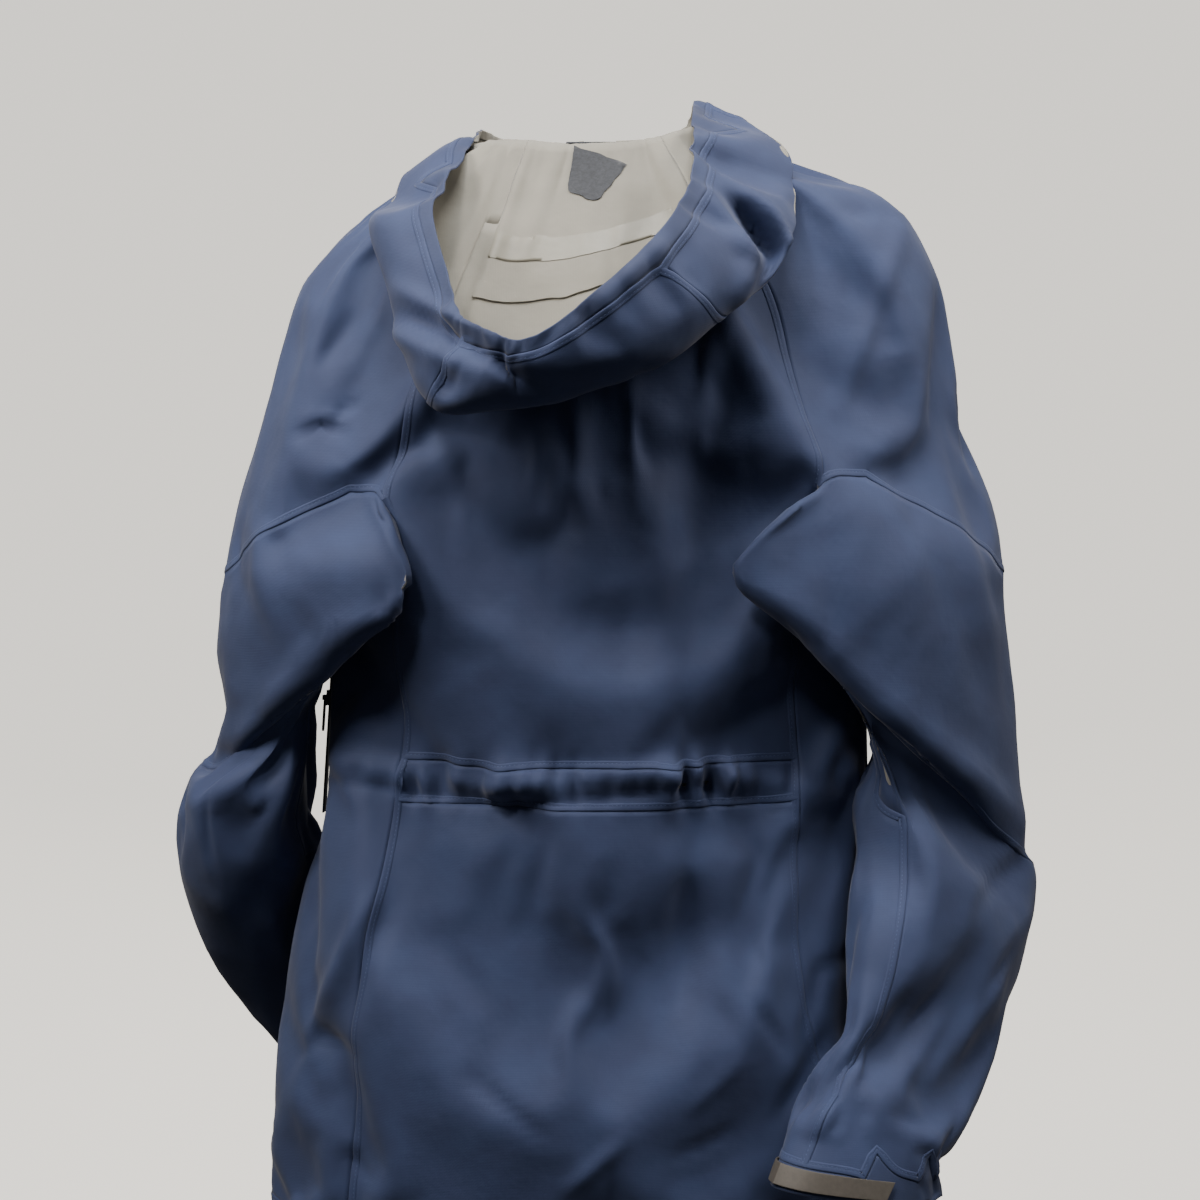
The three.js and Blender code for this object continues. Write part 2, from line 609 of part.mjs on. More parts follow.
function sliderAndPull(prefix, zip, z, width, backPlate) {
  const postDepth = backPlate ? 2 : -0.1;
  const slider = add(`${prefix}_slider`, sliderGeometry(width, 12, postDepth, backPlate), METAL, zip);
  const pull = add(`${prefix}_pull`, pullGeometry(6.4), PLASTIC, zip);
  slider.position.z = z;
  pull.position.z = z;
}

const RETAINER_FLOOR = 3;

// one half of the front zip: its tape with the row of teeth along the inner edge, as one profile
function zipHalf(side, length) {
  const inner = ZIP_SLIT;
  const outer = ZIP_HALF - 0.3;
  const teeth = inner + 2.6;
  const profile = outline([
    [inner, -1.4], [teeth, -1.4], [teeth, -TAPE / 2], [outer, -TAPE / 2],
    [outer, TAPE / 2], [teeth, TAPE / 2], [teeth, 1.4], [inner, 1.4],
  ].map(([x, y]) => [side * x, y]));
  return extrude(profile, length - RETAINER_FLOOR).translate(0, 0, RETAINER_FLOOR);
}

const zipFoot = new THREE.Vector3(0, frontY(HEM_Z) + CLOTH / 2, HEM_Z + 1);
const zipHead = new THREE.Vector3(0, frontY(COLLAR_TOP_Z) + CLOTH / 2, COLLAR_TOP_Z - 1);
const zipLength = zipFoot.distanceTo(zipHead);
const frontZip = frameAlong(zipFoot, zipHead, new THREE.Vector3(0, -1, 0));
add('front_zip_tape_left', zipHalf(-1, zipLength), ZIP, frontZip);
add('front_zip_tape_right', zipHalf(1, zipLength), ZIP, frontZip);
sliderAndPull('front_zip', frontZip, zipLength - 14, 13, true);
add('front_zip_top_stop', box(7, 1.4, 3, 0, 2.5, zipLength - 3), METAL, frontZip);
const retainerBox = cut(
  box(13, 6, 12, 0, 0, 6),
  box(9.4, 3.6, 20, 0, 0, 10 + RETAINER_FLOOR - 0.5),
  box(20, 1.9, 20, 0, 0, 10 + RETAINER_FLOOR - 0.5),
);
add('front_zip_retainer_box', retainerBox, METAL, frontZip);
add('storm_flap', join(
  box(30, 1, zipLength - 30, 6, -6, zipLength / 2),
  box(3, 3.2, zipLength - 30, 19.5, -4.2, zipLength / 2),
), LINING, frontZip);

// a welded water-resistant zip lying on the face of a panel, with a groove for its slider's post
function weldedZip(prefix, foot, head, outward, sliderZ) {
  const half = 8.5;
  const zip = frameAlong(foot, head, outward);
  const length = foot.distanceTo(head);
  const profile = outline([
    [-half, -0.6], [half, -0.6], [half, 0.1], [half - 2, 0.8], [1.5, 0.8], [1.5, -0.2],
    [-1.5, -0.2], [-1.5, 0.8], [-half + 2, 0.8], [-half, 0.1],
  ]);
  add(prefix, extrude(profile, length), ZIP, zip);
  sliderAndPull(prefix, zip, sliderZ, 10, false);
}

for (const [name, sign] of [['left', 1], ['right', -1]]) {
  const sideWidth = (z) => {
    const k = TORSO.findIndex(([level]) => level <= z);
    const [below, above] = [TORSO[k], TORSO[k - 1]];
    const column = sign > 0 ? 1 : 2;
    return above[column] + (below[column] - above[column]) * (z - above[0]) / (below[0] - above[0]);
  };
  const pitFootX = Math.max(sideWidth(-548), sideWidth(WAIST_TOP_Z)) + 2;
  const pitFoot = new THREE.Vector3(sign * pitFootX, 0, -548);
  const pitHead = new THREE.Vector3(sign * (sideWidth(-378) + 2), 0, -378);
  weldedZip(`pit_zip_${name}`, pitFoot, pitHead, new THREE.Vector3(sign, 0, 0), 88);

  const pocketPoint = (x, z) => {
    const round = (1 - (x / sideWidth(z)) ** TORSO_POWER_FRONT) ** (1 / TORSO_POWER_FRONT);
    return new THREE.Vector3(sign * x, frontY(z) * round - 2.2, z);
  };
  const lean = new THREE.Vector3(sign * 0.3, -1, 0);
  weldedZip(`pocket_zip_${name}`, pocketPoint(100, -752), pocketPoint(100, -588), lean, 142);
}

// ---- cuff tabs: a stiff strap laid round the cuff, sewn at one end ----
function cuffTab(name, part, rows, ...columns) {
  const row = rows.length - 2;
  const picked = columns.flatMap((span) => pick(part, [row, row + 1], span));
  panel(name, TAB, picked, { lift: 2.6, thickness: 1.6, inset: 2.6 });
}
cuffTab('cuff_tab_right', 'sleeveRight', sleeveRight, [15, SLEEVE_COLUMNS], [0, 3]);
cuffTab('cuff_tab_left', 'sleeveLeft', sleeveLeft, [10, 16]);

// ---- cord locks on the hem: a barrel with a sprung button in its top ----
function cordLock(name, column) {
  const at = torso[HEM_ROW][column];
  const out = normals[at].clone().setZ(0).normalize();
  const foot = points[at].clone().addScaledVector(out, 6.2).setZ(HEM_Z + 2);
  const lock = frameAlong(foot, foot.clone().setZ(HEM_Z + 20), out);
  const barrel = cut(box(14, 9, 13, 0, 0, 6.5), box(9.6, 5.6, 10, 0, 0, 8), box(20, 3, 3, 0, 0, 5));
  add(`${name}_body`, barrel, PLASTIC, lock);
  add(`${name}_button`, box(9, 5, 10.5, 0, 0, 12.5), PLASTIC, lock);
}
cordLock('cord_lock_right', SIDE_FIRST + 1);
cordLock('cord_lock_left', SIDE_LAST - 1);

// ---- neck: patch on the nape's lining, and the hang loop ----
const nape = points[hood[0][BACK]].clone();
const napeBelow = points[hood[1][BACK]].clone();
const napeSlope = new THREE.Vector3().subVectors(nape, napeBelow).normalize();
const patchFrame = frameAlong(
  napeBelow.clone().addScaledVector(napeSlope, 22).add(new THREE.Vector3(2, 3, 3)),
  napeBelow.clone().addScaledVector(napeSlope, 58).add(new THREE.Vector3(-4, 3, 3)),
  new THREE.Vector3(0, 1, 1),
);
const patch = new THREE.Shape();
patch.moveTo(-21, 36);
patch.lineTo(21, 36);
patch.lineTo(13, 5);
patch.quadraticCurveTo(11, 0, 6, 0);
patch.lineTo(-6, 0);
patch.quadraticCurveTo(-11, 0, -13, 5);
add('neck_patch', extrude(patch, 1).rotateX(Math.PI / 2), TRIM, patchFrame);

const LOOP_TOP_Z = -44;
const loop = outline([
  [-24, -62], [-22, -62], [-16, LOOP_TOP_Z - 1.6], [16, LOOP_TOP_Z - 1.6], [22, -62], [24, -62],
  [17, LOOP_TOP_Z], [-17, LOOP_TOP_Z],
]);
add('hang_loop', extrude(loop, 8).rotateX(Math.PI / 2).translate(8, 54, 0), TRIM);

export default jacket;
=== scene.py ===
"""Looks of a hardshell jacket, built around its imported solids."""
import json
import math

import bmesh
import bpy
import numpy as np
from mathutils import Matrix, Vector, noise
from mathutils.bvhtree import BVHTree
from mathutils.kdtree import KDTree


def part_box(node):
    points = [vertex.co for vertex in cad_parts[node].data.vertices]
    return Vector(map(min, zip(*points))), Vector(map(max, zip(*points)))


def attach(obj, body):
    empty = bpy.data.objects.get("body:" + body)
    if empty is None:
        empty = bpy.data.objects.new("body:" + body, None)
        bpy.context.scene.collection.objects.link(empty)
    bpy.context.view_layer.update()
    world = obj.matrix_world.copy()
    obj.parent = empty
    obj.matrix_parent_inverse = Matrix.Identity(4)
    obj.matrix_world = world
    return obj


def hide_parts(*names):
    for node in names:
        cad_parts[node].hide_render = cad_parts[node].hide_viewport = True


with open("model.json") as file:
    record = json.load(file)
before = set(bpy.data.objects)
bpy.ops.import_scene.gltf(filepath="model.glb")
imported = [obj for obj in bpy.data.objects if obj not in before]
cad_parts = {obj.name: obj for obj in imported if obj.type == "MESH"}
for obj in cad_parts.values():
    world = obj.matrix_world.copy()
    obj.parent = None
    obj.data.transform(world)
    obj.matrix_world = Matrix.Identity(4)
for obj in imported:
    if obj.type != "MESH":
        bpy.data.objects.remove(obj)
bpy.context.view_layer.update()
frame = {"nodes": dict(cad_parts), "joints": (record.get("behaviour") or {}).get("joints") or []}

bl_info = {
    "name": "Hardshell Jacket",
    "version": (1, 0, 0),
    "blender": (4, 5, 0),
    "location": "View3D > Sidebar > Jacket",
    "description": "Cloth, seams, zips and trims of a hardshell jacket",
    "category": "Add Mesh",
}

MM = 0.001
SHELL = "shell"     # the body that every sewn piece rides on
SIDES = ("left", "right")


def both(*names):
    """Each name for the left side and for the right."""
    return [f"{name}_{side}" for name in names for side in SIDES]


# Each cut piece of cloth, by its imported node, under the region it is sewn into.
REGIONS = {
    "body": ["back_yoke", "back_panel", "waist_channel", "back_skirt", "hem_band",
             *both("side_panel", "front_panel", "shoulder")],
    "sleeve_left": ["upper_sleeve_left", "under_sleeve_left", "forearm_left", "cuff_left"],
    "sleeve_right": ["upper_sleeve_right", "under_sleeve_right", "forearm_right", "cuff_right"],
    "hood": ["hood_centre", *both("hood_side", "collar"), "hood_binding"],
}
CLOTH_PANELS = [name for names in REGIONS.values() for name in names]
REGION_OF = {name: region for region, names in REGIONS.items() for name in names}


garment = {}    # what the cloth operator leaves for the others: rest points, hung points, surface


# ---------------------------------------------------------------- settings
class JacketSizes(bpy.types.PropertyGroup):
    """Sizes that change the make of the cloth and its seams."""
    cloth: bpy.props.FloatProperty(
        name="Cloth", description="Thickness of the laminate at the drawn seams",
        default=0.9 * MM, unit="LENGTH")
    welt: bpy.props.FloatProperty(
        name="Welt", description="Width of the turned seam allowance beside a seam",
        default=5.2 * MM, unit="LENGTH")
    stitch: bpy.props.FloatProperty(
        name="Stitch", description="Length of one stitch with the gap after it",
        default=3.2 * MM, unit="LENGTH")
    tooth: bpy.props.FloatProperty(
        name="Zip pitch", description="Distance from one zip tooth to the next",
        default=2.6 * MM, unit="LENGTH")
    ease: bpy.props.FloatProperty(
        name="Ease", description="Cloth to spare, as a share of its length, lost in creases",
        default=0.06, min=0.0, max=0.2)
    frames: bpy.props.IntProperty(
        name="Frames", description="Steps for which the cloth is left to hang", default=20, min=1)


def linear(code):
    """An sRGB hex colour as linear red, green and blue."""
    parts = [int(code[i:i + 2], 16) / 255 for i in (1, 3, 5)]
    return [p / 12.92 if p <= 0.04045 else ((p + 0.055) / 1.055) ** 2.4 for p in parts]


def colour(name, description, code):
    return bpy.props.FloatVectorProperty(
        name=name, description=description, subtype="COLOR", size=3, min=0, max=1,
        default=linear(code))


class JacketColours(bpy.types.PropertyGroup):
    """Colours of the cloth and trims."""
    face: colour("Face", "Nylon face of the laminate", "#29365a")
    face_worn: colour("Worn face", "The same cloth where it is rubbed", "#303f65")
    lining: colour("Lining", "Knit backer inside the laminate", "#8e8b81")
    tape: colour("Seam tape", "Tape over the seams inside", "#888579")
    trim: colour("Trim", "Brushed patch and hang loop", "#3a3d43")
    tab: colour("Tab", "Moulded cuff tab", "#55504a")
    zip_tape: colour("Zip tape", "Coated tape of the zips", "#1a2338")
    plastic: colour("Plastic", "Pulls and cord locks", "#1d2026")
    metal: colour("Metal", "Enamelled sliders", "#34373d")
    thread: colour("Thread", "Sewing thread", "#44557f")
    floor: colour("Floor", "Floor and backdrop", "#dcd8d0")


# ---------------------------------------------------------------- node helper and materials
def node(tree, kind, settings=None, values=None, links=None):
    """Adds a node, with its settings, socket values and the sockets that feed it."""
    made = tree.nodes.new(kind)
    for key, value in (settings or {}).items():
        setattr(made, key, value)
    for key, value in (values or {}).items():
        made.inputs[key].default_value = value
    for key, source in (links or {}).items():
        tree.links.new(source, made.inputs[key])
    return made


def shader(name, roughness, ior=1.5, metallic=0.0, sheen=0.0, coat=0.0):
    """A new material, with its tree and its surface shader."""
    material = bpy.data.materials.new(name)
    material.use_nodes = True
    tree = material.node_tree
    surface = next(n for n in tree.nodes if n.type == "BSDF_PRINCIPLED")
    surface.inputs["Roughness"].default_value = roughness
    surface.inputs["IOR"].default_value = ior
    surface.inputs["Metallic"].default_value = metallic
    surface.inputs["Sheen Weight"].default_value = sheen
    surface.inputs["Coat Weight"].default_value = coat
    return material, tree, surface


def place(tree):
    """Where a point is on the object, in metres."""
    return node(tree, "ShaderNodeTexCoord").outputs["Object"]


def mottled(tree, surface, where, dark, light, scale, contrast=(0.35, 0.65)):
    """Base colour that drifts between two shades. scale is in features per metre."""
    spots = node(tree, "ShaderNodeTexNoise", values={"Scale": scale, "Detail": 4.0},
                 links={"Vector": where})
    ramp = node(tree, "ShaderNodeValToRGB", links={"Fac": spots.outputs["Fac"]})
    for element, position, tint in zip(ramp.color_ramp.elements, contrast, (dark, light)):
        element.position = position
        element.color = (*tint, 1.0)
    tree.links.new(ramp.outputs["Color"], surface.inputs["Base Color"])


def bumps(tree, surface, *layers):
    """Bump layers, each (height socket, depth in metres), the coarsest first."""
    below = None
    for height, depth in layers:
        links = {"Height": height}
        if below:
            links["Normal"] = below
        below = node(tree, "ShaderNodeBump", values={"Distance": depth, "Strength": 1.0},
                     links=links).outputs["Normal"]
    tree.links.new(below, surface.inputs["Normal"])


def threads(tree, where, spacing, direction="X"):
    """Ribs of thread, this far apart in metres, square to a direction."""
    return node(tree, "ShaderNodeTexWave",
                {"wave_type": "BANDS", "bands_direction": direction, "wave_profile": "SIN"},
                {"Scale": 2 * math.pi / spacing / 20, "Distortion": 0.4, "Detail": 1.0,
                 "Detail Scale": 2.0},
                {"Vector": where}).outputs["Fac"]


def crinkle(tree, where, size, detail=3.0):
    """Uneven swellings about this far across, in metres."""
    return node(tree, "ShaderNodeTexNoise", values={"Scale": 1 / size, "Detail": detail},
                links={"Vector": where}).outputs["Fac"]


def face_cloth(name, shade, worn):
    # Nylon plain weave, dyed and finished to shed water: matt, with a faint sheen at a low angle.
    material, tree, surface = shader(name, roughness=0.76, ior=1.5, sheen=0.12)
    surface.inputs["Sheen Roughness"].default_value = 0.5
    where = place(tree)
    mottled(tree, surface, where, shade, worn, 26.0, (0.42, 0.78))
    # threads of the real weave are 0.2 mm apart; they are drawn at 1.1 mm so that they show
    weave = node(tree, "ShaderNodeMath", {"operation": "ADD"})
    tree.links.new(threads(tree, where, 1.1 * MM, "DIAGONAL"), weave.inputs[0])
    tree.links.new(threads(tree, where, 1.1 * MM, "Z"), weave.inputs[1])
    bumps(tree, surface,
          (crinkle(tree, where, 34 * MM), 0.9 * MM),
          (crinkle(tree, where, 9 * MM), 0.16 * MM),
          (weave.outputs[0], 0.018 * MM))
    return material


def knit_backer(name, shade, darker):
    # Warp-knit polyester backer bonded inside: dull, with fine upright wales.
    material, tree, surface = shader(name, roughness=0.82, ior=1.5, sheen=0.2)
    where = place(tree)
    mottled(tree, surface, where, darker, shade, 18.0)
    # wales are 0.5 mm apart; drawn at 1.2 mm so that they show
    bumps(tree, surface, (crinkle(tree, where, 14 * MM), 0.5 * MM),
          (threads(tree, where, 1.2 * MM, "X"), 0.03 * MM))
    return material


def smooth_tape(name, shade):
    # Polyurethane film tape, heat-pressed over a seam: smoother and glossier than the knit.
    material, tree, surface = shader(name, roughness=0.42, ior=1.5)
    where = place(tree)
    mottled(tree, surface, where, [c * 0.86 for c in shade], shade, 60.0)
    bumps(tree, surface, (crinkle(tree, where, 6 * MM), 0.12 * MM))
    return material


def brushed_tricot(name, shade):
    # Brushed polyester tricot: no gloss, a short nap that lightens at its edges.
    material, tree, surface = shader(name, roughness=0.95, ior=1.5, sheen=0.5)
    where = place(tree)
    mottled(tree, surface, where, [c * 0.7 for c in shade], shade, 400.0)
    bumps(tree, surface, (crinkle(tree, where, 1.5 * MM), 0.2 * MM))
    return material


def moulded(name, shade, roughness, grain):
    # Injection-moulded acetal or urethane from a lightly sparked tool: soft gloss over fine grain.
    material, tree, surface = shader(name, roughness=roughness, ior=1.48)
    where = place(tree)
    mottled(tree, surface, where, [c * 0.85 for c in shade], shade, 300.0)
    bumps(tree, surface, (crinkle(tree, where, grain), 0.04 * MM))
    return material


def coated_tape(name, shade):
    # Woven zip tape under a urethane coat: satin, with ribs along the tape just showing.
    material, tree, surface = shader(name, roughness=0.4, ior=1.5)
    where = place(tree)
    mottled(tree, surface, where, [c * 0.8 for c in shade], shade, 90.0)
    bumps(tree, surface, (threads(tree, where, 1.4 * MM, "Z"), 0.05 * MM))
    return material


def braided(name, shade):
    # Polyester braid over an elastic core: plump strands that cross on the slant.
    material, tree, surface = shader(name, roughness=0.75, ior=1.5, sheen=0.2)
    where = place(tree)
    mottled(tree, surface, where, [c * 0.6 for c in shade], shade, 500.0)
    bumps(tree, surface, (threads(tree, where, 1.1 * MM, "DIAGONAL"), 0.2 * MM))
    return material


def enamelled(name, shade):
    # Zinc casting under baked enamel: the enamel's gloss, broken by the casting's slight waves.
    material, tree, surface = shader(name, roughness=0.32, metallic=0.85)
    where = place(tree)
    mottled(tree, surface, where, [c * 0.8 for c in shade], [c * 1.15 for c in shade], 220.0)
    bumps(tree, surface, (crinkle(tree, where, 2.5 * MM), 0.05 * MM))
    return material


def spun_thread(name, shade):
    # Corespun polyester thread: dull, with its ply just showing.
    material, tree, surface = shader(name, roughness=0.7, ior=1.5, sheen=0.1)
    where = place(tree)
    mottled(tree, surface, where, [c * 0.7 for c in shade], shade, 900.0)
    bumps(tree, surface, (crinkle(tree, where, 0.8 * MM), 0.05 * MM))
    return material


def painted_plaster(name, shade):
    # Rolled emulsion on plaster: flat, with the roller's stipple.
    material, tree, surface = shader(name, roughness=0.9)
    where = place(tree)
    mottled(tree, surface, where, [c * 0.97 for c in shade], shade, 3.0)
    bumps(tree, surface, (crinkle(tree, where, 12 * MM), 0.2 * MM))
    # the room's own lamps keep it pale all round
    surface.inputs["Emission Color"].default_value = (*shade, 1.0)
    surface.inputs["Emission Strength"].default_value = 1.6
    return material


FINISHES = {}


def finishes():
    """Every material by the name of its finish, made once."""
    if not FINISHES:
        tints = bpy.context.scene.jacket_colours
        tint = {key: list(getattr(tints, key)) for key in JacketColours.__annotations__}
        FINISHES.update({
            "face": face_cloth("nylon_plain_weave", tint["face"], tint["face_worn"]),
            "face_dark": face_cloth("nylon_plain_weave_doubled",
                                    [c * 0.82 for c in tint["face"]],
                                    [c * 0.9 for c in tint["face_worn"]]),
            "lining": knit_backer("knit_backer", tint["lining"],
                                  [c * 0.84 for c in tint["lining"]]),
            "tape": smooth_tape("urethane_seam_tape", tint["tape"]),
            "dark_trim": brushed_tricot("brushed_tricot", tint["trim"]),
            "cuff_tab": moulded("moulded_urethane_tab", tint["tab"], 0.55, 1.2 * MM),
            "zip_tape": coated_tape("coated_zip_tape", tint["zip_tape"]),
            "cord": braided("braided_elastic_cord", tint["plastic"]),
            "black_plastic": moulded("moulded_acetal", tint["plastic"], 0.38, 0.8 * MM),
            "slider_metal": enamelled("enamelled_zinc", tint["metal"]),
            "thread": spun_thread("polyester_thread", tint["thread"]),
            "plaster": painted_plaster("painted_plaster", tint["floor"]),
        })
    return FINISHES


# ---------------------------------------------------------------- mesh helpers
def mesh_object(name, points, faces, *materials):
    """A mesh object from points and faces, smooth shaded."""
    mesh = bpy.data.meshes.new(name)
    mesh.from_pydata([tuple(p) for p in points], [], faces)
    mesh.shade_smooth()
    piece = bpy.data.objects.new(name, mesh)
    bpy.context.scene.collection.objects.link(piece)
    for material in materials:
        mesh.materials.append(material)
    return piece


def points_of(mesh):
    flat = np.empty(len(mesh.vertices) * 3)
    mesh.vertices.foreach_get("co", flat)
    return flat.reshape(-1, 3)


def set_points(mesh, points):
    mesh.vertices.foreach_set("co", np.asarray(points, float).ravel())
    mesh.update()


def normals_of(mesh):
    flat = np.empty(len(mesh.vertices) * 3)
    mesh.vertex_normals.foreach_get("vector", flat)
    return flat.reshape(-1, 3)


def baked(piece, *modifiers):
    """The piece's mesh after these modifiers, each (type, settings); the piece itself stays."""
    for kind, settings in modifiers:
        added = piece.modifiers.new(kind, kind)
        for key, value in settings.items():
            setattr(added, key, value)
    bpy.context.view_layer.update()
    graph = bpy.context.evaluated_depsgraph_get()
    mesh = bpy.data.meshes.new_from_object(piece.evaluated_get(graph), depsgraph=graph)
    piece.modifiers.clear()
    return mesh


def apply(piece, *modifiers):
    """Gives the piece the mesh that these modifiers make."""
    piece.data = baked(piece, *modifiers)
    return piece


def subdivision(levels, kind="CATMULL_CLARK"):
    return ("SUBSURF", {"levels": levels, "subdivision_type": kind,
                        "boundary_smooth": "PRESERVE_CORNERS"})


def islands(faces):
    """The faces in groups that hang together."""
    left = set(faces)
    groups = []
    while left:
        stack = [left.pop()]
        group = []
        while stack:
            face = stack.pop()
            group.append(face)
            for edge in face.edges:
                for other in edge.link_faces:
                    if other in left:
                        left.remove(other)
                        stack.append(other)
        groups.append(group)
    return groups


def facing_out(side):
    """How far the faces of a side look away from the upright line through the neck."""
    total = 0.0
    for face in side:
        middle = face.calc_center_median()
        total += face.normal.dot(Vector((middle.x, middle.y, 0)).normalized()) * face.calc_area()
    return total


def outer_sheet(name):
    """The outward side of a packed cloth panel, as a bmesh. The faces of its cut edge are as
    narrow as the cloth is thick. Of the two sides left, the outward one looks away from the
    neck's line on the body's panels, and is the larger on a sleeve or the hood."""
    bm = bmesh.new()
    bm.from_mesh(frame["nodes"][name].data)
    bmesh.ops.remove_doubles(bm, verts=bm.verts, dist=0.02 * MM)
    thickness = min(e.calc_length() for e in bm.edges)
    rims = [f for f in bm.faces if min(e.calc_length() for e in f.edges) < thickness * 1.1]
    bmesh.ops.delete(bm, geom=rims, context="FACES")
    sides = islands(bm.faces)
    if REGION_OF[name] == "body":
        sides.sort(key=facing_out)
    else:
        sides.sort(key=lambda side: sum(f.calc_area() for f in side))
    spare = [f for side in sides[:-1] for f in side]
    bmesh.ops.delete(bm, geom=spare, context="FACES")
    loose = [v for v in bm.verts if not v.link_faces]
    bmesh.ops.delete(bm, geom=loose, context="VERTS")
    return bm


def squared(bm):
    """Pairs the triangles of a sheet into four-sided cells."""
    bmesh.ops.join_triangles(bm, faces=bm.faces, angle_face_threshold=math.pi,
                             angle_shape_threshold=math.pi)


# ---------------------------------------------------------------- the cloth
def sewn_cage():
    """All outward sides sewn into one mesh; each face keeps its panel's number."""
    bm = bmesh.new()
    tag = bm.faces.layers.int.new("panel")
    garment["cut_area"] = {}
    for number, name in enumerate(CLOTH_PANELS):
        sheet = outer_sheet(name)
        garment["cut_area"][name] = sum(f.calc_area() for f in sheet.faces)
        own = [bm.verts.new(v.co) for v in sheet.verts]
        sheet.verts.index_update()
        for f in sheet.faces:
            bm.faces.new([own[v.index] for v in f.verts])[tag] = number
        sheet.free()
    bmesh.ops.remove_doubles(bm, verts=bm.verts, dist=0.9 * MM)
    squared(bm)
    mesh = bpy.data.meshes.new("cage")
    bm.to_mesh(mesh)
    bm.free()
    piece = bpy.data.objects.new("cage", mesh)
    bpy.context.scene.collection.objects.link(piece)
    return piece


def panel_numbers(mesh):
    numbers = np.empty(len(mesh.polygons), int)
    mesh.attributes["panel"].data.foreach_get("value", numbers)
    return numbers


def region_shares(mesh, region):
    """1 for each vertex that a face of this region touches."""
    wanted = {i for i, name in enumerate(CLOTH_PANELS) if REGION_OF[name] == region}
    share = np.zeros(len(mesh.vertices))
    numbers = panel_numbers(mesh)
    for face in mesh.polygons:
        if numbers[face.index] in wanted:
            share[list(face.vertices)] = 1.0
    return share


def edge_vertices(mesh):
    """Vertices on an open edge of the cloth: front, hem, cuffs and hood rim."""
    uses = np.zeros(len(mesh.edges), int)
    for face in mesh.polygons:
        for loop in face.loop_indices:
            uses[mesh.loops[loop].edge_index] += 1
    open_edges = [mesh.edges[i].vertices for i in np.nonzero(uses == 1)[0]]
    return np.unique(np.array([list(pair) for pair in open_edges]).ravel())


def near_boxes(points, names, reach):
    """1 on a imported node's box and within half of reach of it, falling to 0 at reach."""
    share = np.zeros(len(points))
    for name in names:
        low, high = (np.array(corner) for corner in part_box(name))
        gap = np.linalg.norm(np.maximum(0, np.maximum(low - points, points - high)), axis=1)
        share = np.maximum(share, np.clip(2 - 2 * gap / reach, 0, 1))
    return share


HARDWARE = ["front_zip_tape_left", "front_zip_tape_right", *both("pit_zip", "pocket_zip"),
            *both("cuff_tab"), "cord_lock_left_body", "cord_lock_right_body"]


def hang(piece):
    """Lets the cloth settle from its cut shape: it has ease to lose in creases, and is held
    where it is sewn to zips, tabs and bands."""
    mesh = piece.data
    start = points_of(mesh)
    hold = np.full(len(start), 0.10)
    hold[edge_vertices(mesh)] = 0.75
    hold = np.maximum(hold, near_boxes(start, HARDWARE, 34 * MM))
    hold_group = piece.vertex_groups.new(name="hold")
    for index, value in enumerate(hold):
        hold_group.add([index], float(value), "REPLACE")
    sizes = bpy.context.scene.jacket_sizes
    cloth = piece.modifiers.new("Cloth", "CLOTH")
    settings = cloth.settings
    settings.quality = 4
    settings.mass = 0.15
    settings.tension_stiffness = settings.compression_stiffness = 30
    settings.shear_stiffness = 12
    settings.bending_stiffness = 2
    settings.air_damping = 2
    settings.vertex_group_mass = hold_group.name
    settings.pin_stiffness = 0.1
    settings.shrink_min = -sizes.ease
    settings.effector_weights.gravity = 0.3
    cloth.collision_settings.use_collision = False
    cloth.point_cache.frame_start = 1
    cloth.point_cache.frame_end = sizes.frames
    scene = bpy.context.scene
    for step in range(1, sizes.frames + 1):
        scene.frame_set(step)
    graph = bpy.context.evaluated_depsgraph_get()
    change = points_of(piece.evaluated_get(graph).data) - start
    piece.modifiers.clear()
    scene.frame_set(1)
    # the broad sag is mostly taken back out, so that the jacket keeps its outline
    change -= SAG_REMOVED * smoothed(mesh, change, SAG_ROUNDS)
    far = np.linalg.norm(change, axis=1)
    change *= (np.tanh(far / MOST_CREASE) * MOST_CREASE / np.maximum(far, 1e-9))[:, None]
    set_points(mesh, start + change)


SAG_REMOVED = 0.8
SAG_ROUNDS = 70
MOST_CREASE = 20 * MM


def smoothed(mesh, values, rounds):
    """Values of the vertices, each averaged with its neighbours this many times over."""
    ends = np.empty(len(mesh.edges) * 2, int)
    mesh.edges.foreach_get("vertices", ends)
    ends = ends.reshape(-1, 2)
    count = np.bincount(ends.ravel(), minlength=len(values))[:, None]
    for _ in range(rounds):
        total = np.zeros_like(values)
        for axis in range(values.shape[1]):
            total[:, axis] = (
                np.bincount(ends[:, 0], values[ends[:, 1], axis], len(values))
                + np.bincount(ends[:, 1], values[ends[:, 0], axis], len(values)))
        values = 0.5 * values + 0.5 * total / count
    return values


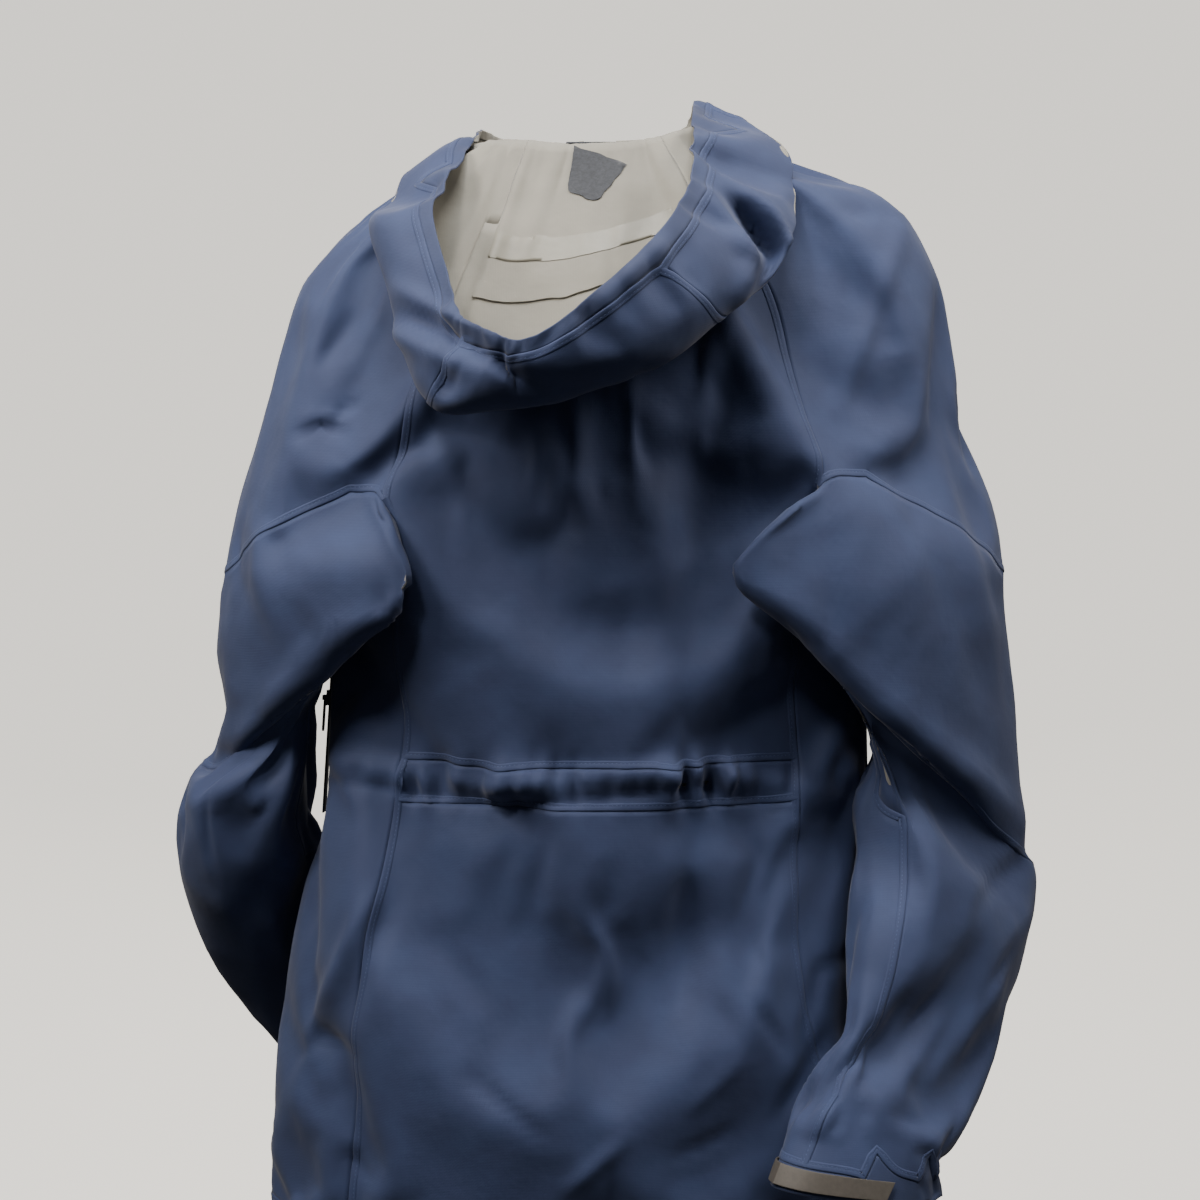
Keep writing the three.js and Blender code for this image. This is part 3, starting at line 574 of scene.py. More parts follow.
# Folds that the cloth keeps from wear and storage, on the side that faces +Y, placed to the
# nearest 5 mm: the part, the kind of edge, half width, height and points (x, z) in mm.
FOLDS = (
    # slack of each upper arm: armpit to tip, tip to elbow, and the hollow below
    ("coat", "sharp", 12, 5, ((170, -300), (140, -370))),
    ("coat", "sharp", 15, 8, ((135, -375), (215, -425), (275, -490))),
    ("coat", "soft", 24, -5, ((165, -420), (260, -520))),
    ("coat", "sharp", 12, 6, ((-155, -305), (-105, -355))),
    ("coat", "sharp", 14, 8, ((-105, -355), (-195, -440))),
    ("coat", "soft", 16, 5, ((-195, -440), (-330, -565))),
    ("coat", "soft", 24, -7, ((-195, -485), (-315, -605))),
    ("coat", "sharp", 9, -5, ((-160, -290), (-170, -415))),
    # upper arms
    ("coat", "sharp", 13, 5, ((-230, -95), (-175, -245))),
    ("coat", "soft", 16, 4, ((-245, -260), (-295, -445))),
    ("coat", "sharp", 7, -3, ((-195, -195), (-225, -195))),
    ("coat", "sharp", 6, -3, ((-180, -100), (-220, -95))),
    ("coat", "soft", 12, -3, ((-215, -290), (-250, -385))),
    ("coat", "sharp", 8, -5, ((225, -265), (205, -255), (185, -265))),
    ("coat", "sharp", 7, 4, ((220, -255), (190, -250))),
    ("coat", "sharp", 7, -4, ((195, -250), (175, -240))),
    ("coat", "soft", 12, -4, ((205, -210), (180, -175))),
    ("coat", "soft", 14, 4, ((250, -340), (240, -415))),
    # right forearm, gathered above its cuff
    ("coat", "sharp", 9, -6, ((-275, -605), (-320, -585))),
    ("coat", "sharp", 8, 4, ((-270, -595), (-320, -570))),
    ("coat", "sharp", 7, -4, ((-280, -670), (-310, -640))),
    ("coat", "sharp", 8, -5, ((-200, -710), (-240, -670))),
    ("coat", "sharp", 8, 4, ((-215, -720), (-250, -680))),
    ("coat", "sharp", 8, -5, ((-145, -705), (-160, -655), (-195, -645))),
    ("coat", "sharp", 8, -5, ((-125, -760), (-165, -700))),
    ("coat", "soft", 9, 4, ((-140, -765), (-175, -710))),
    ("coat", "sharp", 7, -4, ((-235, -775), (-255, -755))),
    ("coat", "soft", 12, 3, ((-230, -500), (-240, -590))),
    # back, where it turns away from the middle
    ("coat", "soft", 26, 4, ((-45, -275), (-40, -485))),
    ("coat", "soft", 30, -4, ((-70, -270), (-70, -455))),
    ("coat", "soft", 30, 3, ((95, -290), (30, -485))),
    # the waist cord's channel and the step below it
    ("coat", "soft", 13, 5, ((195, -505), (70, -520), (-70, -505), (-175, -530))),
    ("coat", "sharp", 6, -4, ((200, -520), (70, -535), (-70, -520), (-175, -550))),
    # skirt, left of the middle and right of it
    ("coat", "sharp", 12, 7, ((170, -605), (220, -725))),
    ("coat", "soft", 16, -5, ((155, -605), (185, -690))),
    ("coat", "sharp", 9, -6, ((225, -725), (205, -705), (180, -715))),
    ("coat", "sharp", 9, -4, ((95, -725), (40, -765))),
    ("coat", "sharp", 8, 5, ((25, -805), (-20, -765))),
    ("coat", "sharp", 7, -4, ((185, -785), (165, -805))),
    ("coat", "soft", 16, -3, ((125, -625), (85, -675))),
    ("coat", "soft", 20, -7, ((-70, -555), (-50, -710))),
    ("coat", "soft", 20, 5, ((-100, -565), (-85, -680))),
    ("coat", "sharp", 9, -4, ((-110, -675), (-135, -710))),
    ("coat", "sharp", 8, 4, ((-65, -745), (-100, -715))),
    ("coat", "sharp", 7, -4, ((-55, -780), (-95, -765))),
    # hood: slit and roll at its left, deep hollow at its right, long fold along its foot
    ("hood", "sharp", 10, -9, ((155, -180), (105, -200), (40, -245))),
    ("hood", "soft", 12, 7, ((150, -195), (90, -230))),
    ("hood", "soft", 10, 5, ((145, -165), (90, -200))),
    ("hood", "soft", 13, -9, ((110, -240), (95, -240))),
    ("hood", "sharp", 14, -36, ((-90, -105), (-120, -140), (-110, -170))),
    ("hood", "sharp", 10, 9, ((-75, -105), (-105, -150), (-95, -180))),
    ("hood", "sharp", 8, 7, ((-100, -100), (-135, -135), (-120, -165))),
    ("hood", "soft", 12, 4, ((-50, -140), (0, -190))),
    ("hood", "sharp", 9, 6, ((0, -250), (-95, -200))),
    ("hood", "soft", 10, -6, ((25, -245), (-45, -225))),
)

# Where a fold is drawn out to a point: the part, where (x, z) and how far (x, y, z) in mm, and
# the radius in mm over which the cloth gives.
DRAWN_OUT = (
    ("sleeve_left", (145, -361), (-9, 6, -10), 60),
    ("sleeve_right", (-123, -358), (27, 8, -3), 62),
    ("hood", (-127, -96), (-13, 0, 9), 46),
    ("hood", (147, -119), (13, 0, 8), 46),
)
# Where a sleeve hangs against the side: the part, height, move along x and reach in mm.
AGAINST_SIDE = (("sleeve_left", -500, -22, 140), ("sleeve_right", -480, 18, 120))
SLEEVE_INNER = 0.29         # the sleeves' inner halves lie within this distance of the middle
SLEEVE_INNER_FADE = 0.09
ZIP_ROOM = 50 * MM          # a sleeve is left alone this near a pit zip, so that its pull swings
WAIST_HEIGHT = -516 * MM    # the band that the cord gathers
WAIST_SPREAD = 15 * MM
# Spans along x in metres, and depth of the pleats in each.
GATHERS = ((-0.104, -0.040, 8 * MM), (0.010, 0.150, 5 * MM), (-0.180, 0.180, 3 * MM))
PLEAT_SIZE = (11 * MM, 60 * MM)     # across and down
RUMPLED = {"body": 0.9 * MM, "sleeve_left": 2.0 * MM, "sleeve_right": 2.0 * MM, "hood": 1.3 * MM}
RUMPLE_SIZES = (95 * MM, 38 * MM)   # broad folds and fine ones
HARDWARE_ROOM = 30 * MM     # cloth this near a zip or tab is held flat by it
LAYER_GAP = 2.5 * MM        # least space left between a hollow and the cloth behind it
LONGEST_LOOK = 60 * MM      # how far behind a hollow another layer is looked for
NECK_HALF_WIDTH = 0.13      # the yoke is kept behind the hood inside this width ...
NECK_LOW = -0.17            # ... above this height ...
NECK_FRONT = -0.02          # ... and behind this depth
YOKE_ROOM = 3 * MM          # between the hood's lining and the yoke behind it
YOKE_REACH = 40 * MM
LOOK_FROM = 0.3             # a depth behind the whole jacket, from which the lining is looked for


def line_profile(points, line, half_width, sharp):
    """1 on a line of the (x, z) plane, falling to 0 at its half width and beyond its ends."""
    best = np.zeros(len(points))
    line = np.array(line) * MM
    lengths = np.linalg.norm(np.diff(line, axis=0), axis=1)
    total, done = lengths.sum(), 0.0
    for (a, b), length in zip(zip(line, line[1:]), lengths):
        along = np.clip((points - a) @ (b - a) / length ** 2, 0, 1)
        gap = np.linalg.norm(points - a - along[:, None] * (b - a), axis=1)
        near = np.clip(1 - gap / (half_width * MM), 0, 1)
        shape = near ** 1.6 if sharp else near * near * (3 - 2 * near)
        share = (done + along * length) / total
        best = np.maximum(best, shape * np.sqrt(np.clip(4 * share * (1 - share) + 0.12, 0, 1)))
        done += length
    return best


def rumpled(points):
    """Ridges of cloth that has been folded and shaken out, from -1 to 1."""
    out = np.empty(len(points))
    for index, (x, y, z) in enumerate(points):
        broad = noise.noise(Vector((x + 0.5 * z, y, z - 0.5 * x)) / RUMPLE_SIZES[0])
        fine = noise.noise(Vector((x - 0.4 * z, y, z + 0.3 * x)) / RUMPLE_SIZES[1]
                           + Vector((7, 3, 5)))
        out[index] = (1 - 3 * abs(broad)) + 0.45 * (1 - 3 * abs(fine))
    return np.clip(out, -1.2, 1.45)


def keep_clear(mesh, points, normals, lift):
    """Keeps hollows from reaching the layer of cloth behind them."""
    surface = BVHTree.FromPolygons([Vector(p) for p in points],
                                   [tuple(f.vertices) for f in mesh.polygons])
    for index in np.nonzero(lift < -1.0 * MM)[0]:
        inward = -Vector(normals[index])
        start = Vector(points[index]) + inward * MM
        gap = surface.ray_cast(start, inward, LONGEST_LOOK)[3]
        if gap is not None:
            lift[index] = max(lift[index], min(0, LAYER_GAP - gap) * 0.4)


def folded(points, shares, facing):
    """How far the folds lift the cloth along its normal, and how far the hood's hollows sink
    its every layer."""
    flat = points[:, [0, 2]]
    lift = np.zeros(len(points))
    sunk = np.zeros(len(points))
    for part, kind, half_width, height, line in FOLDS:
        laid = shares[part] * height * MM * line_profile(flat, line, half_width, kind == "sharp")
        if part == "hood" and height < 0:
            sunk += laid
        else:
            lift += laid * facing
    return lift, sunk


def gathered(points, shares, facing):
    """How far the waist cord's pleats lift the cloth."""
    lift = np.zeros(len(points))
    in_band = (np.exp(-((points[:, 2] - WAIST_HEIGHT) / WAIST_SPREAD) ** 2)
               * shares["body"] * facing)
    pleats = np.array([noise.noise(Vector((x / PLEAT_SIZE[0], z / PLEAT_SIZE[1], 0.0)))
                       for x, _, z in points])
    for low, high, depth in GATHERS:
        inside = (points[:, 0] > low) & (points[:, 0] < high)
        lift += in_band * inside * depth * 2 * pleats
    return lift


def draw_out(points, flat, shares):
    """Draws the slack of each arm, and the hood's corners, out to their points."""
    behind = np.clip((points[:, 1] + 0.02) / 0.06, 0, 1)
    for part, (x, z), move, radius in DRAWN_OUT:
        gap = np.linalg.norm(flat - np.array((x, z)) * MM, axis=1)
        near = np.clip(1 - gap / (radius * MM), 0, 1) ** 1.3
        points += (near * shares[part] * behind)[:, None] * np.array(move) * MM


def lay_against_side(points, shares):
    """Lets the inner half of each sleeve hang against the body."""
    clear = 1 - near_boxes(points, both("pit_zip"), ZIP_ROOM)
    for part, height, move, reach in AGAINST_SIDE:
        near = np.clip(1 - np.abs(points[:, 2] - height * MM) / (reach * MM), 0, 1)
        inner = np.clip((SLEEVE_INNER - np.abs(points[:, 0])) / SLEEVE_INNER_FADE, 0, 1)
        points[:, 0] += (near * near * (3 - 2 * near) * inner * clear * shares[part]
                         * move * MM)


def keep_yoke_behind(mesh, points, normals, shares):
    """Keeps the yoke behind the hood's lining, which lies over it at the back of the neck."""
    lining = lining_at_neck([Vector(p) for p in points], normals,
                            [tuple(f.vertices) for f in mesh.polygons], panel_numbers(mesh))
    at_neck = ((shares["hood"] < 0.05) & (np.abs(points[:, 0]) < NECK_HALF_WIDTH)
               & (points[:, 2] > NECK_LOW) & (points[:, 1] > NECK_FRONT))
    for index in np.nonzero(at_neck)[0]:
        x, y, z = points[index]
        hit = lining.ray_cast(Vector((x, LOOK_FROM, z)), Vector((0, -1, 0)))[0]
        if hit is not None and -YOKE_ROOM < y - hit.y < YOKE_REACH:
            points[index, 1] = hit.y - YOKE_ROOM


def creased(mesh):
    """Creases laid one by one, which the hanging cloth always falls into."""
    points = points_of(mesh)
    normals = normals_of(mesh)
    shares = {region: smoothed(mesh, region_shares(mesh, region)[:, None], 3)[:, 0]
              for region in REGIONS}
    shares["coat"] = np.maximum(shares["body"],
                                np.maximum(shares["sleeve_left"], shares["sleeve_right"]))
    facing = np.clip(2.2 * normals[:, 1] + 0.3, 0, 1)
    flat = points[:, [0, 2]]
    held = np.ones(len(points))
    held[edge_vertices(mesh)] = 0
    held = (smoothed(mesh, held[:, None], 6)[:, 0]
            * (1 - near_boxes(points, HARDWARE, HARDWARE_ROOM)))
    lift, sunk = folded(points, shares, facing)
    folds = rumpled(points)
    for region, depth in RUMPLED.items():
        lift += shares[region] * depth * folds
    lift += gathered(points, shares, facing)
    lift = smoothed(mesh, (lift * held)[:, None], 1)[:, 0]
    keep_clear(mesh, points, normals, lift)
    points += normals * lift[:, None]
    points[:, 1] += smoothed(mesh, (sunk * held)[:, None], 1)[:, 0]
    draw_out(points, flat, shares)
    lay_against_side(points, shares)
    keep_yoke_behind(mesh, points, normals, shares)
    set_points(mesh, points)


class JACKET_OT_cloth(bpy.types.Operator):
    """Sew, hang and crease the cloth, and part it into its cut pieces"""
    bl_idname = "jacket.cloth"
    bl_label = "Cloth"

    def execute(self, context):
        cage = sewn_cage()
        flat = cage.copy()
        context.scene.collection.objects.link(flat)
        rest = points_of(baked(apply(flat, subdivision(2, "SIMPLE")), subdivision(1, "SIMPLE")))
        apply(cage, subdivision(2))
        hang(cage)
        apply(cage, subdivision(1))
        creased(cage.data)
        hung = points_of(cage.data)
        garment["change"] = hung - rest
        garment["rest"] = KDTree(len(rest))
        for index, point in enumerate(rest):
            garment["rest"].insert(point, index)
        garment["rest"].balance()
        garment["hung"] = hung
        garment["normals"] = normals_of(cage.data)
        garment["faces"] = [tuple(f.vertices) for f in cage.data.polygons]
        garment["panels"] = panel_numbers(cage.data)
        garment["surface"] = BVHTree.FromPolygons([Vector(p) for p in hung], garment["faces"])
        for name in CLOTH_PANELS:
            self.cut_piece(name, context.scene.jacket_sizes.cloth)
        bpy.data.objects.remove(cage)
        bpy.data.objects.remove(flat)
        return {"FINISHED"}

    def cut_piece(self, name, thickness):
        number = CLOTH_PANELS.index(name)
        picked = [garment["faces"][i] for i in np.nonzero(garment["panels"] == number)[0]]
        used = sorted({v for face in picked for v in face})
        place_of = {v: i for i, v in enumerate(used)}
        doubled = name in ("hem_band", "hood_binding", *both("cuff"))
        piece = mesh_object(name + "_cloth", garment["hung"][used],
                            [[place_of[v] for v in face] for face in picked],
                            finishes()["face_dark" if doubled else "face"],
                            finishes()["lining"])
        apply(piece, ("SOLIDIFY", {"thickness": thickness * (1.6 if doubled else 1),
                                   "offset": -1, "material_offset": 1,
                                   "material_offset_rim": 0}))
        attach(piece, SHELL)
        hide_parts(name)
        garment.setdefault("pieces", {})[name] = piece


# ---------------------------------------------------------------- trims that lie on the cloth
def carried(points):
    """Where points that lie on the cut shape go when the cloth hangs."""
    out = []
    for point in points:
        total = Vector((0, 0, 0))
        weight = 0.0
        for _, index, gap in garment["rest"].find_n(point, 4):
            share = 1 / (gap + 0.5 * MM) ** 2
            total += share * Vector(garment["change"][index])
            weight += share
        out.append(Vector(point) + total / weight)
    return out


def packed_copy(name, suffix, material):
    """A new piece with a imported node's shape, its triangles paired into four-sided cells."""
    bm = bmesh.new()
    bm.from_mesh(frame["nodes"][name].data)
    bmesh.ops.remove_doubles(bm, verts=bm.verts, dist=0.01 * MM)
    squared(bm)
    mesh = bpy.data.meshes.new(name + suffix)
    bm.to_mesh(mesh)
    bm.free()
    mesh.materials.clear()
    mesh.materials.append(finishes()[material])
    for face in mesh.polygons:
        face.material_index = 0
    piece = bpy.data.objects.new(name + suffix, mesh)
    bpy.context.scene.collection.objects.link(piece)
    return piece


def stand_for(piece, node_name, body=SHELL):
    """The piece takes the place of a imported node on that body."""
    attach(piece, body)
    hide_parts(node_name)
    return piece


def laid_trim(name, material, levels=3):
    """A soft trim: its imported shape, moved with the cloth that it lies on."""
    piece = packed_copy(name, "_laid", material)
    apply(piece, subdivision(levels, "SIMPLE"))
    set_points(piece.data, carried(points_of(piece.data)))
    piece.data.shade_smooth()
    piece.data.set_sharp_from_angle(angle=math.radians(50))
    return stand_for(piece, name)


def pressed(piece, height):
    """Beds a trim in the lining that it is bonded to, and has it stand this high."""
    cloth = bpy.context.scene.jacket_sizes.cloth
    points = []
    for point, way in zip(points_of(piece.data), normals_of(piece.data)):
        at, normal, *_ = garment["surface"].find_nearest(Vector(point))
        depth = cloth + height if normal.dot(Vector(way)) < 0 else cloth - 0.4 * MM
        points.append(at - normal * depth)
    set_points(piece.data, points)


def laid_in_neck(piece, height):
    """Lays a trim on the lining at the back of the neck, in line with where it was cut to lie."""
    cloth = bpy.context.scene.jacket_sizes.cloth
    surface = lining_at_neck([Vector(p) for p in garment["hung"]], garment["normals"],
                             garment["faces"], garment["panels"])
    points = points_of(piece.data)
    for point, way in zip(points, normals_of(piece.data)):
        at = surface.ray_cast(Vector((point[0], LOOK_FROM, point[2])), Vector((0, -1, 0)))[0]
        if at is not None:
            point[1] = at.y + cloth + (height if way[1] > 0 else -0.4 * MM)
    set_points(piece.data, points)


def lining_at_neck(points, normals, faces, panels):
    """The hood's cloth where its lining faces back, as a surface to measure from."""
    hood = {CLOTH_PANELS.index(name) for name in REGIONS["hood"]}
    shown = [f for f, panel in zip(faces, panels)
             if panel in hood and sum(normals[v][1] for v in f) < -0.4]
    return BVHTree.FromPolygons(points, shown)


def rounded_part(name, material, body=SHELL, edge=0.25 * MM, levels=0):
    """A firm part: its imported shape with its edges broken, as a mould or die leaves them."""
    piece = packed_copy(name, "_made", material)
    steps = [("BEVEL", {"width": edge, "segments": 2, "limit_method": "ANGLE",
                        "angle_limit": math.radians(35)})]
    if levels:
        steps.append(subdivision(levels))
    apply(piece, *steps)
    piece.data.shade_smooth()
    piece.data.set_sharp_from_angle(angle=math.radians(40))
    return stand_for(piece, name, body)


class JACKET_OT_linings(bpy.types.Operator):
    """Lay the tapes, tunnels, pocket bags, storm flap, patch and cords"""
    bl_idname = "jacket.linings"
    bl_label = "Linings and trims"

    def execute(self, context):
        pressed(laid_trim("hood_seam_tape", "tape"), 0.5 * MM)
        pressed(laid_trim("hood_adjuster_tunnel", "lining"), 1.6 * MM)
        laid_trim("waist_tunnel", "lining")
        laid_trim("storm_flap", "lining", levels=1)
        for side in SIDES:
            laid_trim(f"pocket_bag_{side}", "lining")
        laid_in_neck(laid_trim("neck_patch", "dark_trim"), 1.0 * MM)
        laid_trim("waist_cord", "cord", levels=1)
        laid_trim("hem_cord", "cord", levels=1)
        rounded_part("hang_loop", "dark_trim")
        return {"FINISHED"}


# ---------------------------------------------------------------- seams
def seam_lines():
    """Chains of vertices along each seam, by its pair of panels, with a face of the first panel
    beside each step of the chain."""
    beside = {}
    for index, face in enumerate(garment["faces"]):
        for a, b in zip(face, face[1:] + face[:1]):
            beside.setdefault((min(a, b), max(a, b)), []).append(index)
    by_pair = {}
    for edge, faces in beside.items():
        numbers = sorted({int(garment["panels"][f]) for f in faces})
        if len(numbers) == 2:
            by_pair.setdefault(tuple(numbers), {})[edge] = faces
    lines = []
    for pair, edges in sorted(by_pair.items()):
        ways = {}
        for a, b in edges:
            ways.setdefault(a, []).append(b)
            ways.setdefault(b, []).append(a)
        left = set(edges)
        starts = sorted(v for v in ways if len(ways[v]) != 2) + sorted(ways)
        for start in starts:
            for step in ways[start]:
                if (min(start, step), max(start, step)) not in left:
                    continue
                chain = [start, step]
                left.remove((min(start, step), max(start, step)))
                while len(ways[chain[-1]]) == 2:
                    onward = [v for v in ways[chain[-1]]
                              if (min(v, chain[-1]), max(v, chain[-1])) in left]
                    if not onward:
                        break
                    left.remove((min(onward[0], chain[-1]), max(onward[0], chain[-1])))
                    chain.append(onward[0])
                faces = edges[(min(chain[0], chain[1]), max(chain[0], chain[1]))]
                own = [f for f in faces if garment["panels"][f] == pair[0]][0]
                lines.append((pair, chain, own))
    return lines


def welt_profile(width):
    """Across a turned seam: distance from the seam line, and height over the cloth."""
    return [(-0.6 * MM, -0.3 * MM), (-0.35 * MM, 0.45 * MM), (0.5 * MM, 0.72 * MM),
            (0.50 * width, 0.62 * MM), (0.64 * width, 0.38 * MM), (0.78 * width, 0.56 * MM),
            (width, 0.35 * MM), (width + 0.5 * MM, -0.3 * MM)]


def on_cloth(point):
    """The nearest point of the cloth, or the point itself where the cloth turns away."""
    found = garment["surface"].find_nearest(point)[0]
    return found if (found - point).length < 3 * MM else point


def welt(line, width, points, faces):
    """Adds the raised allowance that lies to one side of a seam."""
    _, chain, own = line
    path = [Vector(garment["hung"][v]) for v in chain]
    normals = [Vector(garment["normals"][v]) for v in chain]
    middle = sum((Vector(garment["hung"][v]) for v in garment["faces"][own]), Vector()) / 4
    profile = welt_profile(width)
    flip = None
    rows = []
    for i, at in enumerate(path):
        along = path[min(i + 1, len(path) - 1)] - path[max(i - 1, 0)]
        if along.length < 1e-9:
            along = Vector((0, 0, 1))
        side = normals[i].cross(along).normalized()
        if flip is None:
            flip = 1 if side.dot(middle - at) > 0 else -1
        side *= flip
        row = []
        for across, height in profile:
            row.append(on_cloth(at + side * across) + normals[i] * height)
        rows.append((row, at, side, normals[i]))
    base = len(points)
    size = len(profile)
    for row, *_ in rows:
        points.extend(row)
    for i in range(len(rows) - 1):
        for k in range(size - 1):
            a = base + i * size + k
            quad = [a, a + 1, a + 1 + size, a + size]
            faces.append(quad if flip > 0 else quad[::-1])
    return rows


def stitches(rows, width, length, points, faces):
    """Adds a row of stitches in the welt's groove."""
    across = 0.64 * width
    travelled = 0.0
    due = length / 2
    for (_, a, side_a, up_a), (_, b, side_b, up_b) in zip(rows, rows[1:]):
        span = (b - a).length
        while span > 0 and due <= travelled + span:
            share = (due - travelled) / span
            at = a.lerp(b, share)
            side = side_a.lerp(side_b, share).normalized()
            up = up_a.lerp(up_b, share).normalized()
            along = (b - a).normalized()
            centre = on_cloth(at + side * across) + up * 0.52 * MM
            base = len(points)
            half = 0.36 * length
            points.extend([centre - along * half - up * 0.2 * MM, centre + side * 0.32 * MM,
                           centre + up * 0.3 * MM, centre - side * 0.32 * MM,
                           centre + along * half - up * 0.2 * MM])
            faces.extend([[base, base + 1, base + 2], [base, base + 2, base + 3],
                          [base + 4, base + 2, base + 1], [base + 4, base + 3, base + 2]])
            due += length
        travelled += span


class JACKET_OT_seams(bpy.types.Operator):
    """Raise the turned seams and sew their top stitches"""
    bl_idname = "jacket.seams"
    bl_label = "Seams"

    def execute(self, context):
        sizes = context.scene.jacket_sizes
        made = {region: ([], [], [], []) for region in REGIONS}
        for line in seam_lines():
            if len(line[1]) < 3:
                continue
            region = REGION_OF[CLOTH_PANELS[line[0][1]]]
            points, faces, thread_points, thread_faces = made[region]
            rows = welt(line, sizes.welt, points, faces)
            stitches(rows, sizes.welt, sizes.stitch, thread_points, thread_faces)
        for region, (points, faces, thread_points, thread_faces) in made.items():
            raised = mesh_object("seams_" + region, points, faces, finishes()["face"])
            sewn = mesh_object("stitches_" + region, thread_points, thread_faces,
                               finishes()["thread"])
            for piece in (raised, sewn):
                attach(piece, SHELL)
        return {"FINISHED"}


# ---------------------------------------------------------------- zips
def joint_of(body):
    return next(j for j in frame["joints"] if j["child"] == body)


def teeth(name, half_gap, run, along, face_y, pitch):
    """Teeth of a coil zip, from the foot of its run to its head."""
    points, faces = [], []
    low, high = run
    count = int((high - low).length / pitch)
    side = Vector((1, 0, 0))
    out = along.cross(side).normalized()
    for k in range(count):
        centre = low + along * (k + 0.5) * pitch + side * (half_gap * (1 if k % 2 else -1))
        centre += out * face_y
        base = len(points)
        rings = [(-1.0, 0.5), (-0.55, 1.0), (0.55, 1.0), (1.0, 0.5)]
        for level, swell in rings:
            for dx, dy in ((-1, -1), (1, -1), (1, 1), (-1, 1)):
                points.append(centre + along * (0.36 * pitch * level)
                              + side * (0.95 * MM * dx * swell) + out * (0.5 * MM * dy * swell))
        for ring in range(3):
            for q in range(4):
                a = base + ring * 4 + q
                b = base + ring * 4 + (q + 1) % 4
                faces.append([a, b, b + 4, a + 4])
        faces.append([base + 3, base + 2, base + 1, base])
        faces.append([base + 12, base + 13, base + 14, base + 15])
    return mesh_object(name, points, faces, finishes()["black_plastic"])


class JACKET_OT_zips(bpy.types.Operator):
    """Make the front, pit and pocket zips, with their sliders and pulls, and the front zip's teeth"""
    bl_idname = "jacket.zips"
    bl_label = "Zips"

    def execute(self, context):
        for side in SIDES:
            rounded_part(f"front_zip_tape_{side}", "zip_tape")
            for zip_name in ("pit_zip", "pocket_zip"):
                rounded_part(f"{zip_name}_{side}", "zip_tape")
                rounded_part(f"{zip_name}_{side}_slider", "slider_metal",
                             f"{zip_name}_{side}_slider")
                rounded_part(f"{zip_name}_{side}_pull", "black_plastic",
                             f"{zip_name}_{side}_pull", edge=0.3 * MM)
        rounded_part("front_zip_slider", "slider_metal", "front_zip_slider")
        rounded_part("front_zip_pull", "black_plastic", "front_zip_pull",
                     edge=0.3 * MM)
        rounded_part("front_zip_top_stop", "slider_metal")
        rounded_part("front_zip_retainer_box", "slider_metal")
        along = Vector(joint_of("front_zip_slider")["axis"]).normalized()
        low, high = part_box("front_zip_tape_left")
        head = Vector((0, low.y if along.y < 0 else high.y, high.z))
        foot = head - along * ((high.z - low.z) / along.z)
        made = teeth("front_zip_teeth", 0.45 * MM, (foot + along * 8 * MM, head - along * 4 * MM),
                     along, 0.0, context.scene.jacket_sizes.tooth)
        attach(made, SHELL)
        return {"FINISHED"}


class JACKET_OT_cuffs_and_locks(bpy.types.Operator):
    """Make the cuff tabs and the cord locks on the hem"""
    bl_idname = "jacket.cuffs_and_locks"
    bl_label = "Cuff tabs and cord locks"

    def execute(self, context):
        for side in SIDES:
            tab = rounded_part(f"cuff_tab_{side}", "cuff_tab", f"cuff_tab_{side}",
                               edge=0.4 * MM, levels=2)
            tab.data.shade_smooth()
            rounded_part(f"cord_lock_{side}_body", "black_plastic",
                         edge=0.6 * MM)
            rounded_part(f"cord_lock_{side}_button", "black_plastic",
                         f"cord_lock_{side}_button", edge=0.5 * MM)
        return {"FINISHED"}


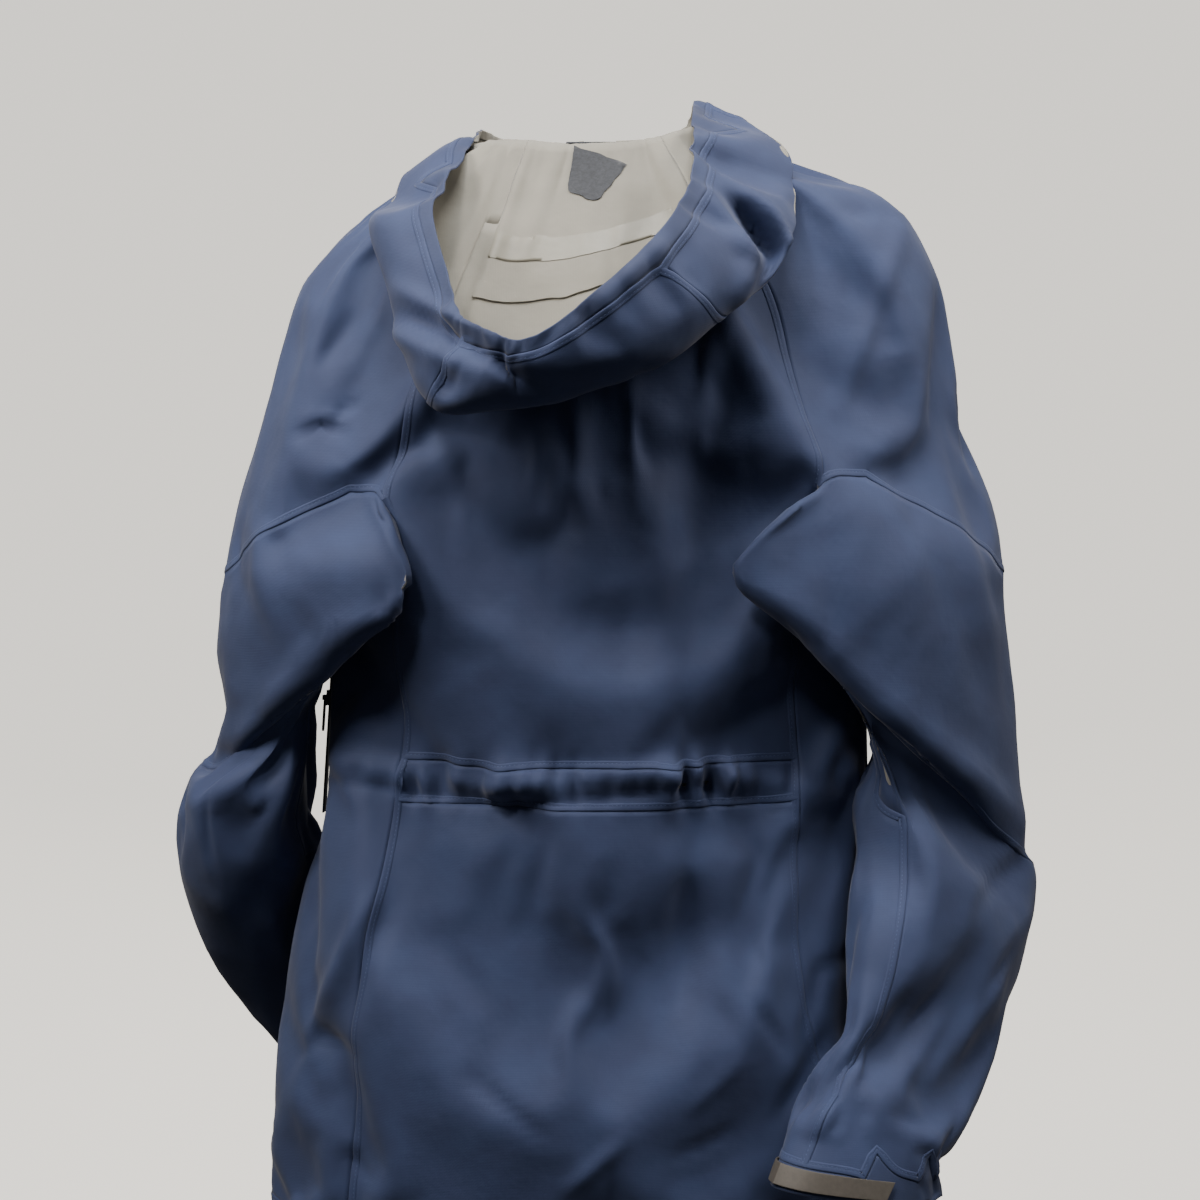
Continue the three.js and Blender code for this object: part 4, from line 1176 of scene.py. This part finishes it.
# ---------------------------------------------------------------- stage
class JACKET_OT_stage(bpy.types.Operator):
    """Set the floor, the lights and the camera"""
    bl_idname = "jacket.stage"
    bl_label = "Stage"

    def execute(self, context):
        steps = 96
        # level to 1.2 m out, then one even curve up to 4 m high
        bend = [math.pi / 2 * k / 24 for k in range(25)]
        profile = [(0.0, -1.45)] + [(1.2 + 4.8 * math.sin(t), 4.0 - 5.45 * math.cos(t))
                                    for t in bend]
        points = [(r * math.cos(a), r * math.sin(a), z) for r, z in profile[1:]
                  for a in (2 * math.pi * k / steps for k in range(steps))]
        rings = len(profile) - 1
        faces = [[i * steps + k, i * steps + (k + 1) % steps,
                  (i + 1) * steps + (k + 1) % steps, (i + 1) * steps + k]
                 for i in range(rings - 1) for k in range(steps)]
        faces.append(list(range(steps))[::-1])
        floor = mesh_object("floor", points, faces, finishes()["plaster"])
        floor.visible_shadow = floor.visible_diffuse = floor.visible_glossy = False
        for name, place_at, size, power, tint in (
                ("key", (0.62, 1.42, 1.05), 0.3, 17, "#fff8f0"),
                ("side left", (1.0, 0.6, 0.5), 0.5, 17, "#fff8f0"),
                ("side right", (-1.0, 0.5, 0.6), 0.5, 14, "#fff8f0"),
                ("fill", (-1.9, 1.6, 0.2), 1.8, 1.5, "#e8efff"),
                ("front", (0.3, -2.4, 0.9), 1.8, 34, "#fff8f0"),
                ("top", (0.0, 0.5, 1.0), 0.7, 22, "#ffffff")):
            lamp = bpy.data.lights.new(name, "AREA")
            lamp.size = size
            lamp.energy = power
            lamp.color = linear(tint)
            holder = bpy.data.objects.new(name, lamp)
            holder.location = place_at
            aim = Vector((0, 0, -0.4)) - Vector(place_at)
            holder.rotation_euler = aim.to_track_quat("-Z", "Y").to_euler()
            context.scene.collection.objects.link(holder)
        world = bpy.data.worlds.new("studio")
        world.use_nodes = True
        world.node_tree.nodes["Background"].inputs["Color"].default_value = (
            *linear("#e4e2de"), 1.0)
        world.node_tree.nodes["Background"].inputs["Strength"].default_value = 0.09
        context.scene.world = world
        camera = bpy.data.objects.new("camera", bpy.data.cameras.new("camera"))
        distance = 1.6
        half_view = 0.462
        camera.location = (0, distance, -0.385)
        camera.rotation_euler = (math.pi / 2, 0, math.pi)
        camera.data.angle = 2 * math.atan(half_view / distance)
        context.scene.collection.objects.link(camera)
        context.scene.camera = camera
        return {"FINISHED"}


class JACKET_PT_panel(bpy.types.Panel):
    """Lists the operators that make the jacket"""
    bl_idname = "JACKET_PT_panel"
    bl_label = "Hardshell Jacket"
    bl_space_type = "VIEW_3D"
    bl_region_type = "UI"
    bl_category = "Jacket"

    def draw(self, context):
        for group in (context.scene.jacket_sizes, context.scene.jacket_colours):
            for key in type(group).__annotations__:
                self.layout.prop(group, key)
        for operator in OPERATORS:
            self.layout.operator(operator.bl_idname)


OPERATORS = (JACKET_OT_cloth, JACKET_OT_linings, JACKET_OT_seams, JACKET_OT_zips,
             JACKET_OT_cuffs_and_locks, JACKET_OT_stage)
CLASSES = (JacketSizes, JacketColours, *OPERATORS, JACKET_PT_panel)


def register():
    for item in CLASSES:
        bpy.utils.register_class(item)
    bpy.types.Scene.jacket_sizes = bpy.props.PointerProperty(type=JacketSizes)
    bpy.types.Scene.jacket_colours = bpy.props.PointerProperty(type=JacketColours)


def unregister():
    del bpy.types.Scene.jacket_colours
    del bpy.types.Scene.jacket_sizes
    for item in reversed(CLASSES):
        bpy.utils.unregister_class(item)


def main():
    register()
    for operator in OPERATORS:
        group, name = operator.bl_idname.split(".")
        getattr(getattr(bpy.ops, group), name)()


if __name__ == "__main__":
    main()
